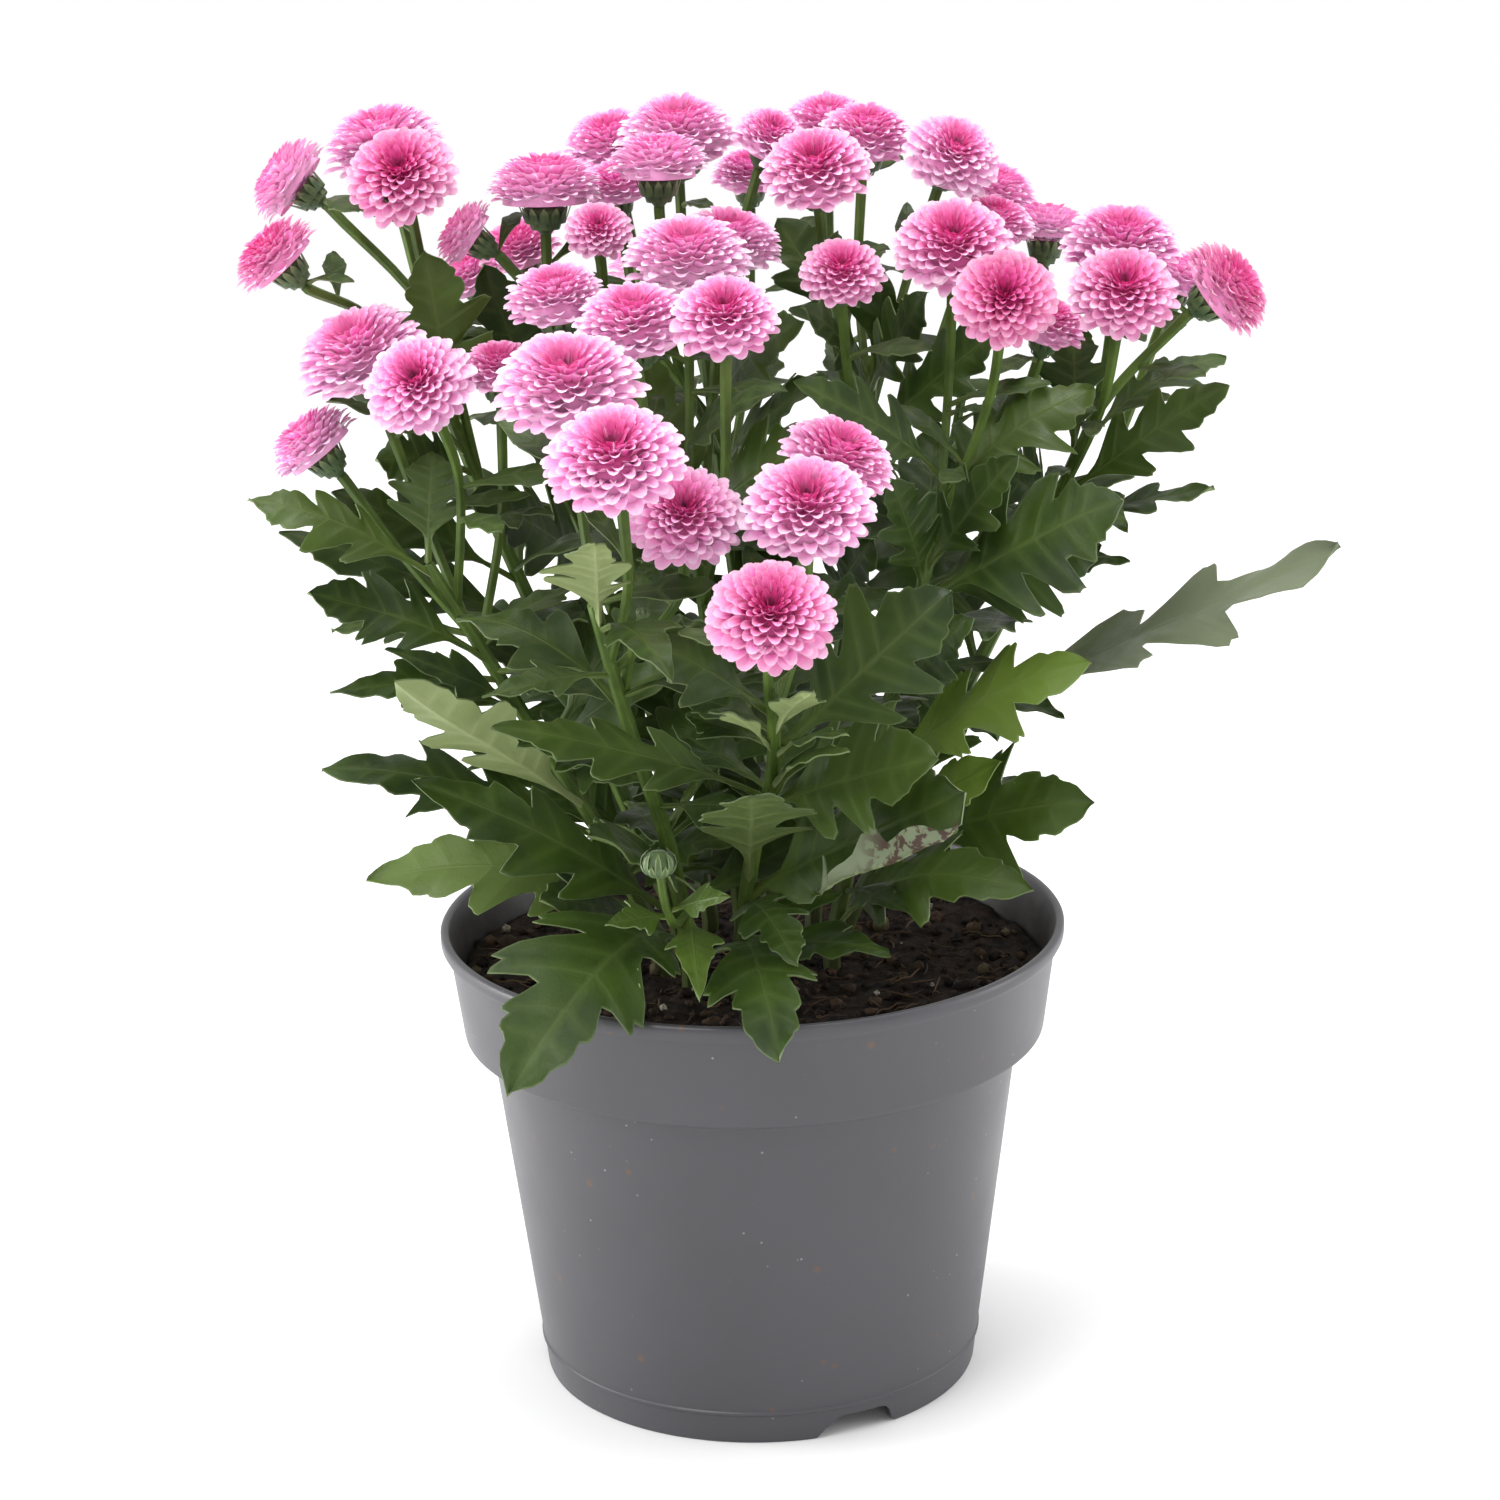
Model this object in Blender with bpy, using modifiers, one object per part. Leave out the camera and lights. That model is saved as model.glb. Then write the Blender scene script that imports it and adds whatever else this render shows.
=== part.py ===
# Pot chrysanthemum: a grower's pot, its soil, ten leafy shoots and their pompon blooms
# Layout is in millimetres, the front of the plant is -Y and the pot stands on z = 0
import math
import random

import bmesh
import bpy
from mathutils import Vector
from mathutils.bvhtree import BVHTree

MM = 0.001
GAP = 0.3
WELD = 0.002
TURN_MERGE = 0.1
SEED = 24

# Pot
POT_SEGMENTS = 28
POT_ROOM = 1.2
WALL = 1.6
RIM_RADIUS = 70.0
RIM_TOP = 106.0
RIM_BASE = 102.9
COLLAR_TOP_RADIUS = 68.1
COLLAR_FOOT_RADIUS = 65.4
COLLAR_FOOT = 81.5
STEP_RADIUS = 59.4
STEP_FOOT = 79.0
FOOT_RADIUS = 49.3
PAD_RADIUS = 30.0
PAD_SLOPE = 1.0
FLOOR_RISE = 6.0
LIP_ROUND = 0.8
LIP_WALL = 1.9
NOTCH_ANGLES = (25.0, 145.0, 265.0)
NOTCH_SIZE = (8.0, 20.0, 5.0)
NOTCH_DROP = 0.1
DRAIN_COUNT = 6
DRAIN_RADIUS = 3.2
DRAIN_RING = 38.0
DRAIN_TURN = 0.43

# Soil and stems
SOIL_TOP = 95.0
SOIL_MOUND = 0.6
MOUND_RADII = (22.0, 44.0)
SOIL_ROUGHNESS = 0.8
HOLE_SIDES = 8
STEM_FOOT = 70.0
STEM_RADIUS = 2.0
STEM_TAPER = 0.35
STALK_RADIUS = 1.1
STALK_SIDES_RESOLUTION = 0
STALK_NECK = 1.2
STALK_TRIES = 60
STALK_TOP = 0.98
STALK_LOWER = 0.4
STALK_REACH = 0.42
STALK_SAG = 0.06
STALK_EVEN = 0.35
STALK_WANDER = 0.25
BEND_HEIGHT = 101.0
STEM_SPANS = 5

# Blooms
PETALS_ROUND = 14
FEW_PETALS_ROUND = 12
SMALL_BLOOM = 21.0
BLOOM_LEVELS = 5
BLOOM_HEIGHT = 0.5
BLOOM_TOP = 0.42
CUP_RADIUS = 0.29
CUP_HEIGHT = 5.5

# Leaves
BLADE_THICKNESS = 0.7
CLEARANCE = 1.0
STEM_ROOM = 0.6
SPREAD = 1.06
ROOT_SHARE = 0.13
AXIL_SHARE = 0.30
ROOT_DROP = 0.008
FOLD = 0.16
TIP_CURL = 0.30
SHOOT_LEAVES = 10
FEWEST_RULE_LEAVES = 3
LEAF_TRIES = 60
SIGHT_SLOPE = 17.2
SIGHT_PLAY = 0.6
SIDE_PLAY = 0.12
ROOT_PLAY = 0.1
TILT_PLAY = 0.5
LEAF_SHRINK = 0.004
LOW_LEAF = 60.0
TOP_LEAF = 34.0
LOBED_SHARE = 0.38
RULE_LEAVES_FROM = 0.06
RULE_LEAVES_SPAN = 0.92
RULE_STEP = (0.2, 0.8)
RULE_TURN = 3.0
LOW_REACH = 58.0
LOW_REACH_TOP = 160.0
LEAF_RISE = (-5.0, 45.0)
LEAF_WIDTH = (0.44, 0.56)
LEAF_BOW = (2.0, 7.0)
FACE_FRONT = (-0.8, 0.1)
FACE_OUT = (-0.1, 0.3)
PLAIN_WIDTH = 15.0
STUB_RADIUS = 1.6
BUD_STALK_RADIUS = 1.0
BUD_SIDES = 8
BUD_LEVELS = 4
GOLDEN_ANGLE = 137.5

# Colours and the roughness of each surface
POT_DULLNESS = 0.42
SOIL_DULLNESS = 0.95
PETAL_DULLNESS = 0.55
LEAF_DULLNESS = 0.5
POT_COLOUR = (0.128, 0.135, 0.158, 1.0)
SOIL_COLOUR = (0.020, 0.014, 0.010, 1.0)
GREEN = (0.045, 0.100, 0.022, 1.0)
PINK = (0.70, 0.22, 0.46, 1.0)

# A bloom's levels of petal tips and of the gaps between them, from its foot to its top:
# reach as a share of the radius, and height as a share of the diameter
# The room that the bloom takes has the height first
PETAL_TIPS = ((0.30, 0.0), (1.0, 0.15), (0.86, 0.39), (0.52, 0.50))
PETAL_GAPS = ((0.30, 0.0), (0.89, 0.22), (0.68, 0.34), (0.32, 0.44))
BLOOM_ROOM = ((0.0, 0.30), (0.10, 0.98), (0.26, 1.0), (0.40, 0.82), (0.50, 0.45), (0.51, 0.05))

# Each shoot: the stem's points above the soil, the first one its place in the soil
SHOOTS = {
    "left_back": ((-17, 9, 95), (-30, 12, 135), (-52, 17, 185), (-66, 20, 222)),
    "left_front": ((-20, -7, 95), (-33, -10, 130), (-51, -13, 162), (-68, -15, 193)),
    "back_left": ((-10, 22, 95), (-20, 30, 140), (-36, 34, 185), (-47, 36, 215)),
    "front_left": ((-14, -17, 95), (-17, -29, 130), (-25, -46, 165), (-31, -62, 196)),
    "front_right": ((-3, -22, 95), (0, -33, 130), (5, -49, 155), (5, -70, 178)),
    "centre": ((-2, 0, 95), (-5, -4, 140), (-9, -6, 180), (-13, -8, 212)),
    "back": ((4, 21, 95), (2, 30, 140), (-4, 38, 190), (-8, 43, 228)),
    "back_right": ((14, 12, 95), (18, 20, 140), (26, 30, 190), (30, 36, 226)),
    "right": ((18, -6, 95), (26, -8, 140), (38, -4, 180), (44, -2, 208)),
    "far_right": ((21, 5, 95), (38, 8, 135), (60, 13, 177), (74, 17, 207)),
}

# Each bloom: shoot, centre, diameter, lean to the right and lean to the front in degrees
BLOOMS = (
    ("left_back", (-79, 43, 276), 28.5, -12, 5),
    ("left_back", (-72, 8, 274), 25.0, -6, 42),
    ("left_back", (-99, 29, 270), 21.5, -55, -10),
    ("left_back", (-100, 4, 258), 21.0, -41, 5),
    ("back_left", (-60, 18, 259), 17.0, -55, 0),
    ("back_left", (-50, 52, 250), 20.0, -15, 10),
    ("back_left", (-62, 68, 241), 18.5, -25, 10),
    ("back_left", (-42, 22, 269), 26.0, 0, -4),
    ("back", (-29, 74, 270), 25.0, -10, 10),
    ("back", (-13, 54, 275), 28.8, 0, 10),
    ("back", (-17, 20, 274), 22.8, 0, -3),
    ("back", (-27, 38, 266), 17.8, -5, 10),
    ("back", (8, 44, 275), 17.8, 20, 25),
    ("back", (3, 76, 262), 18.5, 0, 10),
    ("back", (-20, 94, 238), 24.0, -5, -15),
    ("back_right", (17, 10, 273), 25.0, -4, 28),
    ("back_right", (21, 74, 273), 24.2, 0, 10),
    ("back_right", (29, 45, 275), 23.2, 5, 10),
    ("back_right", (48, 33, 272), 23.0, 20, 33),
    ("back_right", (59, 70, 258), 22.6, 20, 5),
    ("right", (46, -2, 258), 27.0, 0, 30),
    ("right", (57, 37, 256), 19.5, 10, 10),
    ("right", (55, -32, 252), 22.7, 0, 50),
    ("right", (68, 16, 237), 17.5, 15, 15),
    ("right", (22, -4, 253), 19.0, 0, 33),
    ("far_right", (70, 53, 252), 20.0, 5, -15),
    ("far_right", (85, 30, 252), 28.0, 5, 12),
    ("far_right", (82, -6, 248), 24.5, 3, 35),
    ("far_right", (101, 58, 239), 20.0, 20, 0),
    ("far_right", (106, 6, 246), 23.3, 52, 20),
    ("centre", (-30, 8, 261), 15.0, 0, 40),
    ("centre", (-39, -8, 250), 23.0, -5, 10),
    ("centre", (-11, -3, 257), 28.6, 0, 12),
    ("centre", (-2, 26, 255), 24.7, 8, 8),
    ("centre", (-22, -28, 248), 26.6, -3, 12),
    ("centre", (-3, -50, 253), 23.0, 0, 27),
    ("left_front", (-82, -4, 238), 30.0, -18, 15),
    ("left_front", (-67, -34, 237), 24.0, -20, 45),
    ("left_front", (-52, 0, 233), 19.0, 0, 10),
    ("left_front", (-93, -6, 219), 21.5, -38, 0),
    ("front_left", (-35, -55, 241), 32.0, -3, 18),
    ("front_left", (-25, -84, 232), 29.4, -5, 27),
    ("front_left", (-12, -60, 214), 25.4, 0, 34),
    ("front_right", (13, -67, 217), 28.3, 0, 28),
    ("front_right", (20, -40, 221), 25.3, 20, 15),
    ("front_right", (5, -89, 201), 26.8, 3, 37),
)

# Each leaf that shows by itself: shoot, height of its root on the stem, tip, width,
# lean of its upper face to the front in degrees, and how far its rib bows up
LEAVES = (
    ("far_right", 148, (128, -10, 193), 36, 16, -1),
    ("right", 138, (74, -32, 172), 30, 32, 6),
    ("right", 120, (55, -22, 148), 20, 45, 5),
    ("far_right", 114, (76, -16, 136), 32, 45, 10),
    ("right", 106, (67, -30, 124), 30, 25, 9),
    ("front_right", 120, (44, -64, 155), 34, 48, 4),
    ("front_right", 144, (39, -60, 161), 30, 45, 4),
    ("front_right", 160, (43, -50, 194), 26, 60, 4),
    ("right", 178, (81, -25, 206), 30, 45, 4),
    ("right", 180, (78, -2, 191), 24, 60, 4),
    ("far_right", 188, (103, 5, 202), 16, 10, 2),
    ("far_right", 196, (107, 10, 223), 19, 50, 3),
    ("far_right", 206, (112, 24, 231), 16, 30, 7),
    ("left_front", 190, (-105, -24, 210), 20, 30, 3),
    ("left_back", 168, (-103, 10, 194), 22, 30, 3),
    ("left_front", 170, (-93, -24, 190), 19, 35, 4),
    ("left_front", 158, (-76, -31, 180), 15, 40, 2),
    ("left_front", 136, (-73, -52, 179), 26, -50, 0),
    ("front_left", 112, (-74, -40, 155), 25, 45, 5),
    ("left_front", 128, (-94, -10, 145), 22, 25, 5),
    ("left_front", 107, (-84, -20, 124), 28, 35, 12),
    ("front_left", 105, (-51, -78, 97), 36, 35, 18),
    ("front_right", 103, (5, -83, 104), 25, 25, 14),
    ("low_bud", 124, (-11, -84, 118), 14, 30, 2),
    ("low_bud", 128, (-30, -76, 132), 9, 40, 1),
    ("low_bud", 130, (-4, -76, 137), 9, 45, 1),
    ("front_right", 116, (15, -60, 110), 20, 25, 6),
    ("left_front", 108, (-47, -50, 126), 20, 40, 3),
    ("front_right", 148, (-52, -74, 174), 18, 40, 4),
    ("front_left", 190, (-28, -88, 216), 20, -30, 2),
    ("front_right", 167, (13, -92, 186), 12, -20, 1),
    ("front_right", 162, (-8, -88, 180), 9, 10, 2),
    ("front_right", 157, (21, -86, 180), 10, 20, 2),
    ("front_right", 151, (20, -88, 172), 10, 35, 2),
    ("right", 202, (81, 2, 228), 26, 45, 3),
    ("right", 186, (59, -18, 215), 18, 45, 2),
    ("right", 182, (32, -22, 211), 16, 45, 2),
    ("right", 206, (12, -20, 233), 20, 40, 3),
    ("centre", 196, (16, -26, 222), 24, 45, 3),
    ("back_right", 205, (58, 18, 236), 22, 40, 3),
    ("back_right", 220, (9, 40, 257), 20, 55, 2),
    ("back_right", 214, (13, 6, 243), 18, 45, 3),
    ("back_right", 218, (41, 10, 245), 18, 50, 2),
    ("far_right", 206, (74, 32, 236), 20, 50, 2),
    ("far_right", 192, (54, 6, 206), 22, 45, 3),
    ("left_back", 214, (-68, 10, 257), 24, 60, 3),
    ("back_left", 210, (-56, 26, 250), 22, 50, 3),
    ("left_back", 180, (-91, 10, 203), 18, 40, 2),
    ("back_left", 176, (-61, 3, 203), 28, 45, 4),
    ("centre", 192, (-21, 12, 234), 19, 50, 2),
    ("back", 212, (14, 12, 239), 22, 50, 3),
    ("back", 200, (20, 4, 230), 18, 40, 3),
    ("right", 114, (34, -42, 121), 9, 50, 2),
    ("back_right", 170, (28, 10, 190), 20, 45, 3),
    ("back_right", 226, (32, 26, 247), 14, 50, 2),
    ("left_back", 206, (-84, -4, 213), 22, 45, 3),
    ("left_front", 206, (-67, -2, 215), 16, 45, 2),
    ("back_left", 196, (-49, 14, 212), 18, 50, 2),
    ("back_left", 110, (-40, 34, 125), 26, 40, 4),
    ("back", 108, (-10, 50, 123), 26, 35, 4),
    ("left_back", 112, (-37, 22, 135), 22, 45, 3),
    ("centre", 126, (-24, 16, 164), 24, 45, 4),
    ("back_left", 138, (-41, 40, 153), 24, 45, 4),
    ("left_back", 146, (-54, 24, 163), 26, 45, 4),
    ("right", 158, (50, -14, 180), 20, 50, 2),
    ("left_front", 134, (-35, 16, 178), 24, 45, 3),
    ("right", 192, (59, 6, 228), 18, 50, 2),
    ("left_front", 150, (-18, 10, 183), 22, 45, 3),
    ("right", 186, (41, 14, 222), 18, 50, 2),
)

# Each bud: shoot, height of the stalk's root, the stalk's further points up to the bud, radius
BUDS = {
    "low_bud": ("front_left", 112, ((-13, -44, 123), (-17, -62, 127), (-19, -70, 143)), 4.2),
    "high_bud": ("front_left", 170, ((-24, -52, 182), (-21, -58, 193)), 1.6),
}

# Two forms of leaf, each with its half outline and the corners on its rib:
# shares of the length, and in the outline also shares of half the width
LOBED = (
    ((0.0, 0.08), (0.27, 0.12), (0.47, 0.95), (0.53, 0.42), (0.74, 1.0), (0.80, 0.50)),
    (0.30, 0.53, 0.81),
)
PLAIN = (
    ((0.0, 0.10), (0.22, 0.12), (0.50, 1.0), (0.62, 0.52)),
    (0.32,),
)


# Layout shared with scene.py

def smooth_path(points, count):
    # Points at even steps on a smooth curve through the given points
    spots = [Vector(p) for p in points]
    spots = [spots[0] * 2 - spots[1]] + spots + [spots[-1] * 2 - spots[-2]]
    spans = len(spots) - 3
    path = []
    for index in range(count + 1):
        place = index / count * spans
        span = min(int(place), spans - 1)
        t = place - span
        a, b, c, d = spots[span:span + 4]
        path.append(0.5 * (2 * b + (c - a) * t + (2 * a - 5 * b + 4 * c - d) * t ** 2
                           + (3 * b - a - 3 * c + d) * t ** 3))
    return path


def stem_path(name, count):
    # The stem above the bend, after the straight length that stands in the soil
    base = Vector(SHOOTS[name][0])
    bend = Vector((base.x, base.y, BEND_HEIGHT))
    return smooth_path([bend] + list(SHOOTS[name][1:]), count)


def stem_radii(path):
    # The stem's radius at each point of its path, thinner towards the top
    last = len(path) - 1
    return [STEM_RADIUS * (1 - STEM_TAPER * index / last) for index in range(len(path))]


def point_at_share(path, share):
    # The point a share of the way along a path
    place = min(max(share, 0.0), 0.999) * (len(path) - 1)
    low = int(place)
    return path[low].lerp(path[low + 1], place - low)


def point_at_height(path, height):
    # The point of a rising path at a height
    for low, high in zip(path, path[1:]):
        if low.z <= height <= high.z:
            return low.lerp(high, (height - low.z) / (high.z - low.z))
    return path[-1].copy() if height > path[-1].z else path[0].copy()


def bloom_axis(right, front):
    # The direction that a bloom faces, from its two leans in degrees
    axis = Vector((math.tan(math.radians(right)), -math.tan(math.radians(front)), 1.0))
    return axis.normalized()


def bloom_base(bloom):
    # The middle of a bloom's foot, and the bloom's direction
    axis = bloom_axis(bloom[3], bloom[4])
    return Vector(bloom[1]) - axis * (BLOOM_HEIGHT / 2 * bloom[2]), axis


def leaf_surface(leaf):
    # A function that takes a share of the length and a sideways share to a place in the layout
    root, tip, width, up, bow, _ = leaf
    chord = tip - root
    along = chord.normalized()
    side = along.cross(up).normalized()
    normal = side.cross(along)

    def place(share, across, lift=0.0):
        rise = bow * 4 * share * (1 - share) + lift
        fold = FOLD * abs(across) - TIP_CURL * across ** 2 * share
        return (root + chord * share + side * (across * width / 2)
                + normal * (rise + fold * width / 2))
    return place


def leaf_sheet(leaf, lift=0.0, start=0.0, spread=1.0):
    # The coarse blade: its corners, its triangles and the corners round its rim
    outline, rib = leaf[5]
    place = leaf_surface(leaf)
    left = [place(max(share, start), -across * spread, lift) for share, across in outline]
    right = [place(max(share, start), across * spread, lift) for share, across in outline]
    corners = left + right + [place(share, 0.0, lift) for share in rib] + [place(1.0, 0.0, lift)]
    side = len(outline)
    tip = len(corners) - 1
    edge = [(outline[i][0], i) for i in range(1, side)] + [(1.0, tip)]
    spine = [(share, 2 * side + i) for i, share in enumerate(rib)] + [(1.0, tip)]
    faces = [(0, side, side + 1), (0, side + 1, 1), (1, side + 1, 2 * side)]
    while len(edge) > 1:
        (_, outer), (_, inner) = edge[0], spine[0]
        if len(spine) > 1 and (spine[1][0] < edge[1][0] or edge[1][1] == tip):
            spine.pop(0)
            added = spine[0][1]
        else:
            edge.pop(0)
            added = edge[0][1]
        if added in (outer, inner):
            continue
        faces.append((outer, inner, added))
        mirror = [corner + side if corner < side else corner for corner in (added, inner, outer)]
        faces.append(tuple(mirror))
    rim = list(range(side)) + [tip] + list(range(2 * side - 1, side - 1, -1))
    return corners, faces, rim


def blade_tree(leaf, start):
    # The blade beyond a share of its length, thickened by the clearance, for crossing tests
    low, faces, rim = leaf_sheet(leaf, -CLEARANCE, start, SPREAD)
    high = leaf_sheet(leaf, CLEARANCE, start, SPREAD)[0]
    shift = len(low)
    faces = faces + [tuple(v + shift for v in face) for face in faces]
    for a, b in zip(rim, rim[1:] + rim[:1]):
        faces += [(a, b, b + shift), (a, b + shift, a + shift)]
    return BVHTree.FromPolygons(low + high, faces)


def ring_faces(rings, sides):
    # Triangles between rings of corners that follow each other
    faces = []
    for ring in range(rings - 1):
        for turn in range(sides):
            a = ring * sides + turn
            b = ring * sides + (turn + 1) % sides
            faces += [(a, b, b + sides), (a, b + sides, a + sides)]
    return faces


def tube_tree(points, radii, sides=6):
    # A tube along points, for crossing tests
    corners = []
    for index, point in enumerate(points):
        ahead = points[min(index + 1, len(points) - 1)] - points[max(index - 1, 0)]
        side = ahead.orthogonal().normalized()
        other = ahead.cross(side).normalized()
        for turn in range(sides):
            angle = 2 * math.pi * turn / sides
            corners.append(point + (side * math.cos(angle) + other * math.sin(angle)) * radii[index])
    return BVHTree.FromPolygons(corners, ring_faces(len(points), sides))


def bloom_tree(bloom):
    # The room that a bloom takes, for crossing tests
    base, axis = bloom_base(bloom)
    radius = bloom[2] / 2
    points = [base + axis * (height * bloom[2]) for height, _ in BLOOM_ROOM]
    return tube_tree(points, [radius * share + GAP for _, share in BLOOM_ROOM], PETALS_ROUND)


def clear(tree, obstacles, skip=()):
    # Whether a tree crosses none of the obstacles whose owner isn't skipped
    return not any(owner not in skip and tree.overlap(other) for owner, other in obstacles)


def grow_stalk(index, bloom, paths, obstacles, rng):
    # A side stalk from the shoot's stem to the cup under the bloom, bent clear of everything else
    base, axis = bloom_base(bloom)
    radius = bloom[2] / 2 * CUP_RADIUS
    cap = base - axis * GAP
    neck = cap - axis * CUP_HEIGHT
    path = paths[bloom[0]]
    best = None
    aside = (neck.xy - path[-1].xy).length
    start = max(0.5, STALK_TOP - ROOT_DROP * aside)
    for attempt in range(STALK_TRIES):
        loose = min(1.0, 3 * attempt / STALK_TRIES)
        root = point_at_share(path, start + rng.uniform(-STALK_LOWER, STALK_TOP - start) * loose)
        reach = (neck - root).length
        middle = neck - axis * (STALK_REACH * reach) - Vector((0, 0, STALK_SAG * reach))
        middle = middle.lerp((root + neck) / 2, STALK_EVEN)
        middle += Vector([rng.uniform(-1, 1) for _ in range(3)]) * (STALK_WANDER * attempt)
        points = [root, middle, neck, cap]
        radii = [STALK_RADIUS, STALK_RADIUS, STALK_RADIUS * STALK_NECK, radius]
        tree = tube_tree(points, [r + STEM_ROOM for r in radii])
        best = best or (points, radii, tree)
        if clear(tree, obstacles, (("bloom", index), bloom[0])):
            return points, radii, tree
    return best


def feature_leaf(row, attempt, paths, rng):
    # A leaf of the list, moved a little more with each attempt, the most along the line of sight
    name, height, tip, width, face, bow = row
    root = point_at_height(paths[name], height + rng.uniform(-1, 1) * ROOT_PLAY * attempt)
    slope = math.radians(SIGHT_SLOPE)
    sight = Vector((0, math.cos(slope), -math.sin(slope)))
    moved = Vector(tip) + sight * (rng.uniform(-1, 1) * SIGHT_PLAY * attempt)
    moved += Vector([rng.uniform(-1, 1) for _ in range(3)]) * (SIDE_PLAY * attempt)
    shrink = 1.0 - LEAF_SHRINK * attempt
    tilt = math.radians(face + rng.uniform(-1, 1) * TILT_PLAY * attempt)
    up = Vector((0, -math.sin(tilt), math.cos(tilt)))
    form = LOBED if width > PLAIN_WIDTH else PLAIN
    return root, root + (moved - root) * shrink, width * shrink, up, bow, form


def rule_leaf(name, order, count, attempt, paths, rng):
    # The next leaf up the stem by the golden angle, or None where a low one would reach out too far
    path = paths[name]
    share = RULE_LEAVES_FROM + RULE_LEAVES_SPAN * (order + rng.uniform(*RULE_STEP)) / count
    root = point_at_share(path, share)
    turn = math.radians(GOLDEN_ANGLE * order + rng.uniform(-1, 1) * RULE_TURN * attempt)
    turn += math.atan2(path[-1].y, path[-1].x)
    heading = Vector((math.cos(turn), math.sin(turn), 0))
    length = (LOW_LEAF + (TOP_LEAF - LOW_LEAF) * share) * (1 - 2 * LEAF_SHRINK * attempt)
    rise = math.radians(rng.uniform(*LEAF_RISE))
    direction = heading * math.cos(rise) + Vector((0, 0, math.sin(rise)))
    tip = root + direction * length
    if abs(tip.x) > LOW_REACH and tip.z < LOW_REACH_TOP:
        return None
    up = Vector((0, rng.uniform(*FACE_FRONT), 1)) + heading * rng.uniform(*FACE_OUT)
    form = LOBED if share < LOBED_SHARE else PLAIN
    width = length * rng.uniform(*LEAF_WIDTH)
    return root, tip, width, up, rng.uniform(*LEAF_BOW), form


def place_leaf(make, order, name, obstacles):
    # The first leaf that is clear of everything but its own shoot's axil, of those that make gives, or None
    own_stems = [obstacle for obstacle in obstacles if obstacle[0] == name]
    for attempt in range(LEAF_TRIES):
        leaf = make(order, attempt)
        if not leaf:
            continue
        tree = blade_tree(leaf, ROOT_SHARE)
        if not clear(tree, obstacles, (name,)) or not clear(blade_tree(leaf, AXIL_SHARE), own_stems):
            continue
        place = leaf_surface(leaf)
        stub = tube_tree([place(0.0, 0.0), place(ROOT_SHARE, 0.0)], [STUB_RADIUS] * 2, 4)
        if clear(stub, obstacles, (name, ("leaves", name))):
            obstacles += [(("leaves", name), tree), (("leaves", name), stub)]
            return leaf
    return None


def pot_tree():
    # The soil's surface, the inside of the pot above it, and the rim and collar outside
    near = POT_ROOM
    inside = COLLAR_TOP_RADIUS - WALL - near
    section = [(1.0, SOIL_TOP + near), (inside, SOIL_TOP + near), (inside, RIM_BASE - near),
               (RIM_RADIUS - 2 * WALL, RIM_TOP + near), (RIM_RADIUS + near, RIM_TOP + near),
               (RIM_RADIUS + near, RIM_BASE - near), (COLLAR_TOP_RADIUS + near, RIM_BASE - 2 * near),
               (COLLAR_FOOT_RADIUS + near, COLLAR_FOOT)]
    corners = []
    for radius, height in section:
        for turn in range(POT_SEGMENTS):
            angle = 2 * math.pi * turn / POT_SEGMENTS
            corners.append(Vector((radius * math.cos(angle), radius * math.sin(angle), height)))
    return BVHTree.FromPolygons(corners, ring_faces(len(section), POT_SEGMENTS))


def bud_path(name, paths):
    # The bud's stalk, from the shoot's stem to the bud's middle
    shoot, height, points, _ = BUDS[name]
    return smooth_path([point_at_height(paths[shoot], height)] + list(points), STEM_SPANS)


def grow():
    # The whole layout: stalks, leaves and buds of every shoot, each clear of the other pieces
    rng = random.Random(SEED)
    paths = {name: stem_path(name, STEM_SPANS) for name in SHOOTS}
    obstacles = [("pot", pot_tree())]
    obstacles += [(("bloom", i), bloom_tree(b)) for i, b in enumerate(BLOOMS)]
    for name, path in paths.items():
        obstacles.append((name, tube_tree(path, [radius + STEM_ROOM for radius in stem_radii(path)])))
    stalks = {name: [] for name in SHOOTS}
    for index, bloom in enumerate(BLOOMS):
        points, radii, tree = grow_stalk(index, bloom, paths, obstacles, rng)
        stalks[bloom[0]].append((points, radii))
        obstacles.append((bloom[0], tree))
    for name, (shoot, _, _, radius) in BUDS.items():
        paths[name] = bud_path(name, paths)
        stalks[shoot].append((paths[name], [BUD_STALK_RADIUS] * len(paths[name])))
        thick = [BUD_STALK_RADIUS + STEM_ROOM] * STEM_SPANS + [radius + STEM_ROOM]
        obstacles.append((shoot, tube_tree(paths[name], thick)))

    def from_list(row, attempt):
        return feature_leaf(row, attempt, paths, rng)

    def by_rule(spot, attempt):
        return rule_leaf(*spot, attempt, paths, rng)

    leaves = {name: [] for name in SHOOTS}
    for row in LEAVES:
        shoot = BUDS[row[0]][0] if row[0] in BUDS else row[0]
        leaves[shoot].append(place_leaf(from_list, row, shoot, obstacles))
    counts = {name: max(FEWEST_RULE_LEAVES, SHOOT_LEAVES - len(leaves[name])) for name in SHOOTS}
    for order in range(SHOOT_LEAVES):
        for name in SHOOTS:
            if order < counts[name]:
                leaves[name].append(place_leaf(by_rule, (name, order, counts[name]), name, obstacles))
    for name in SHOOTS:
        leaves[name] = [leaf for leaf in leaves[name] if leaf]
    return paths, stalks, leaves


# Blender objects

def new_material(name, colour, roughness):
    # A Principled material of one colour
    material = bpy.data.materials.new(name)
    material.use_nodes = True
    shader = material.node_tree.nodes["Principled BSDF"]
    shader.inputs["Base Color"].default_value = colour
    shader.inputs["Roughness"].default_value = roughness
    return material


def new_object(name, mesh, collection, material=None):
    # An object for the mesh, in its collection and with its material
    item = bpy.data.objects.new(name, mesh)
    collection.objects.link(item)
    if material:
        mesh.materials.clear()
        mesh.materials.append(material)
    return item


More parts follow.
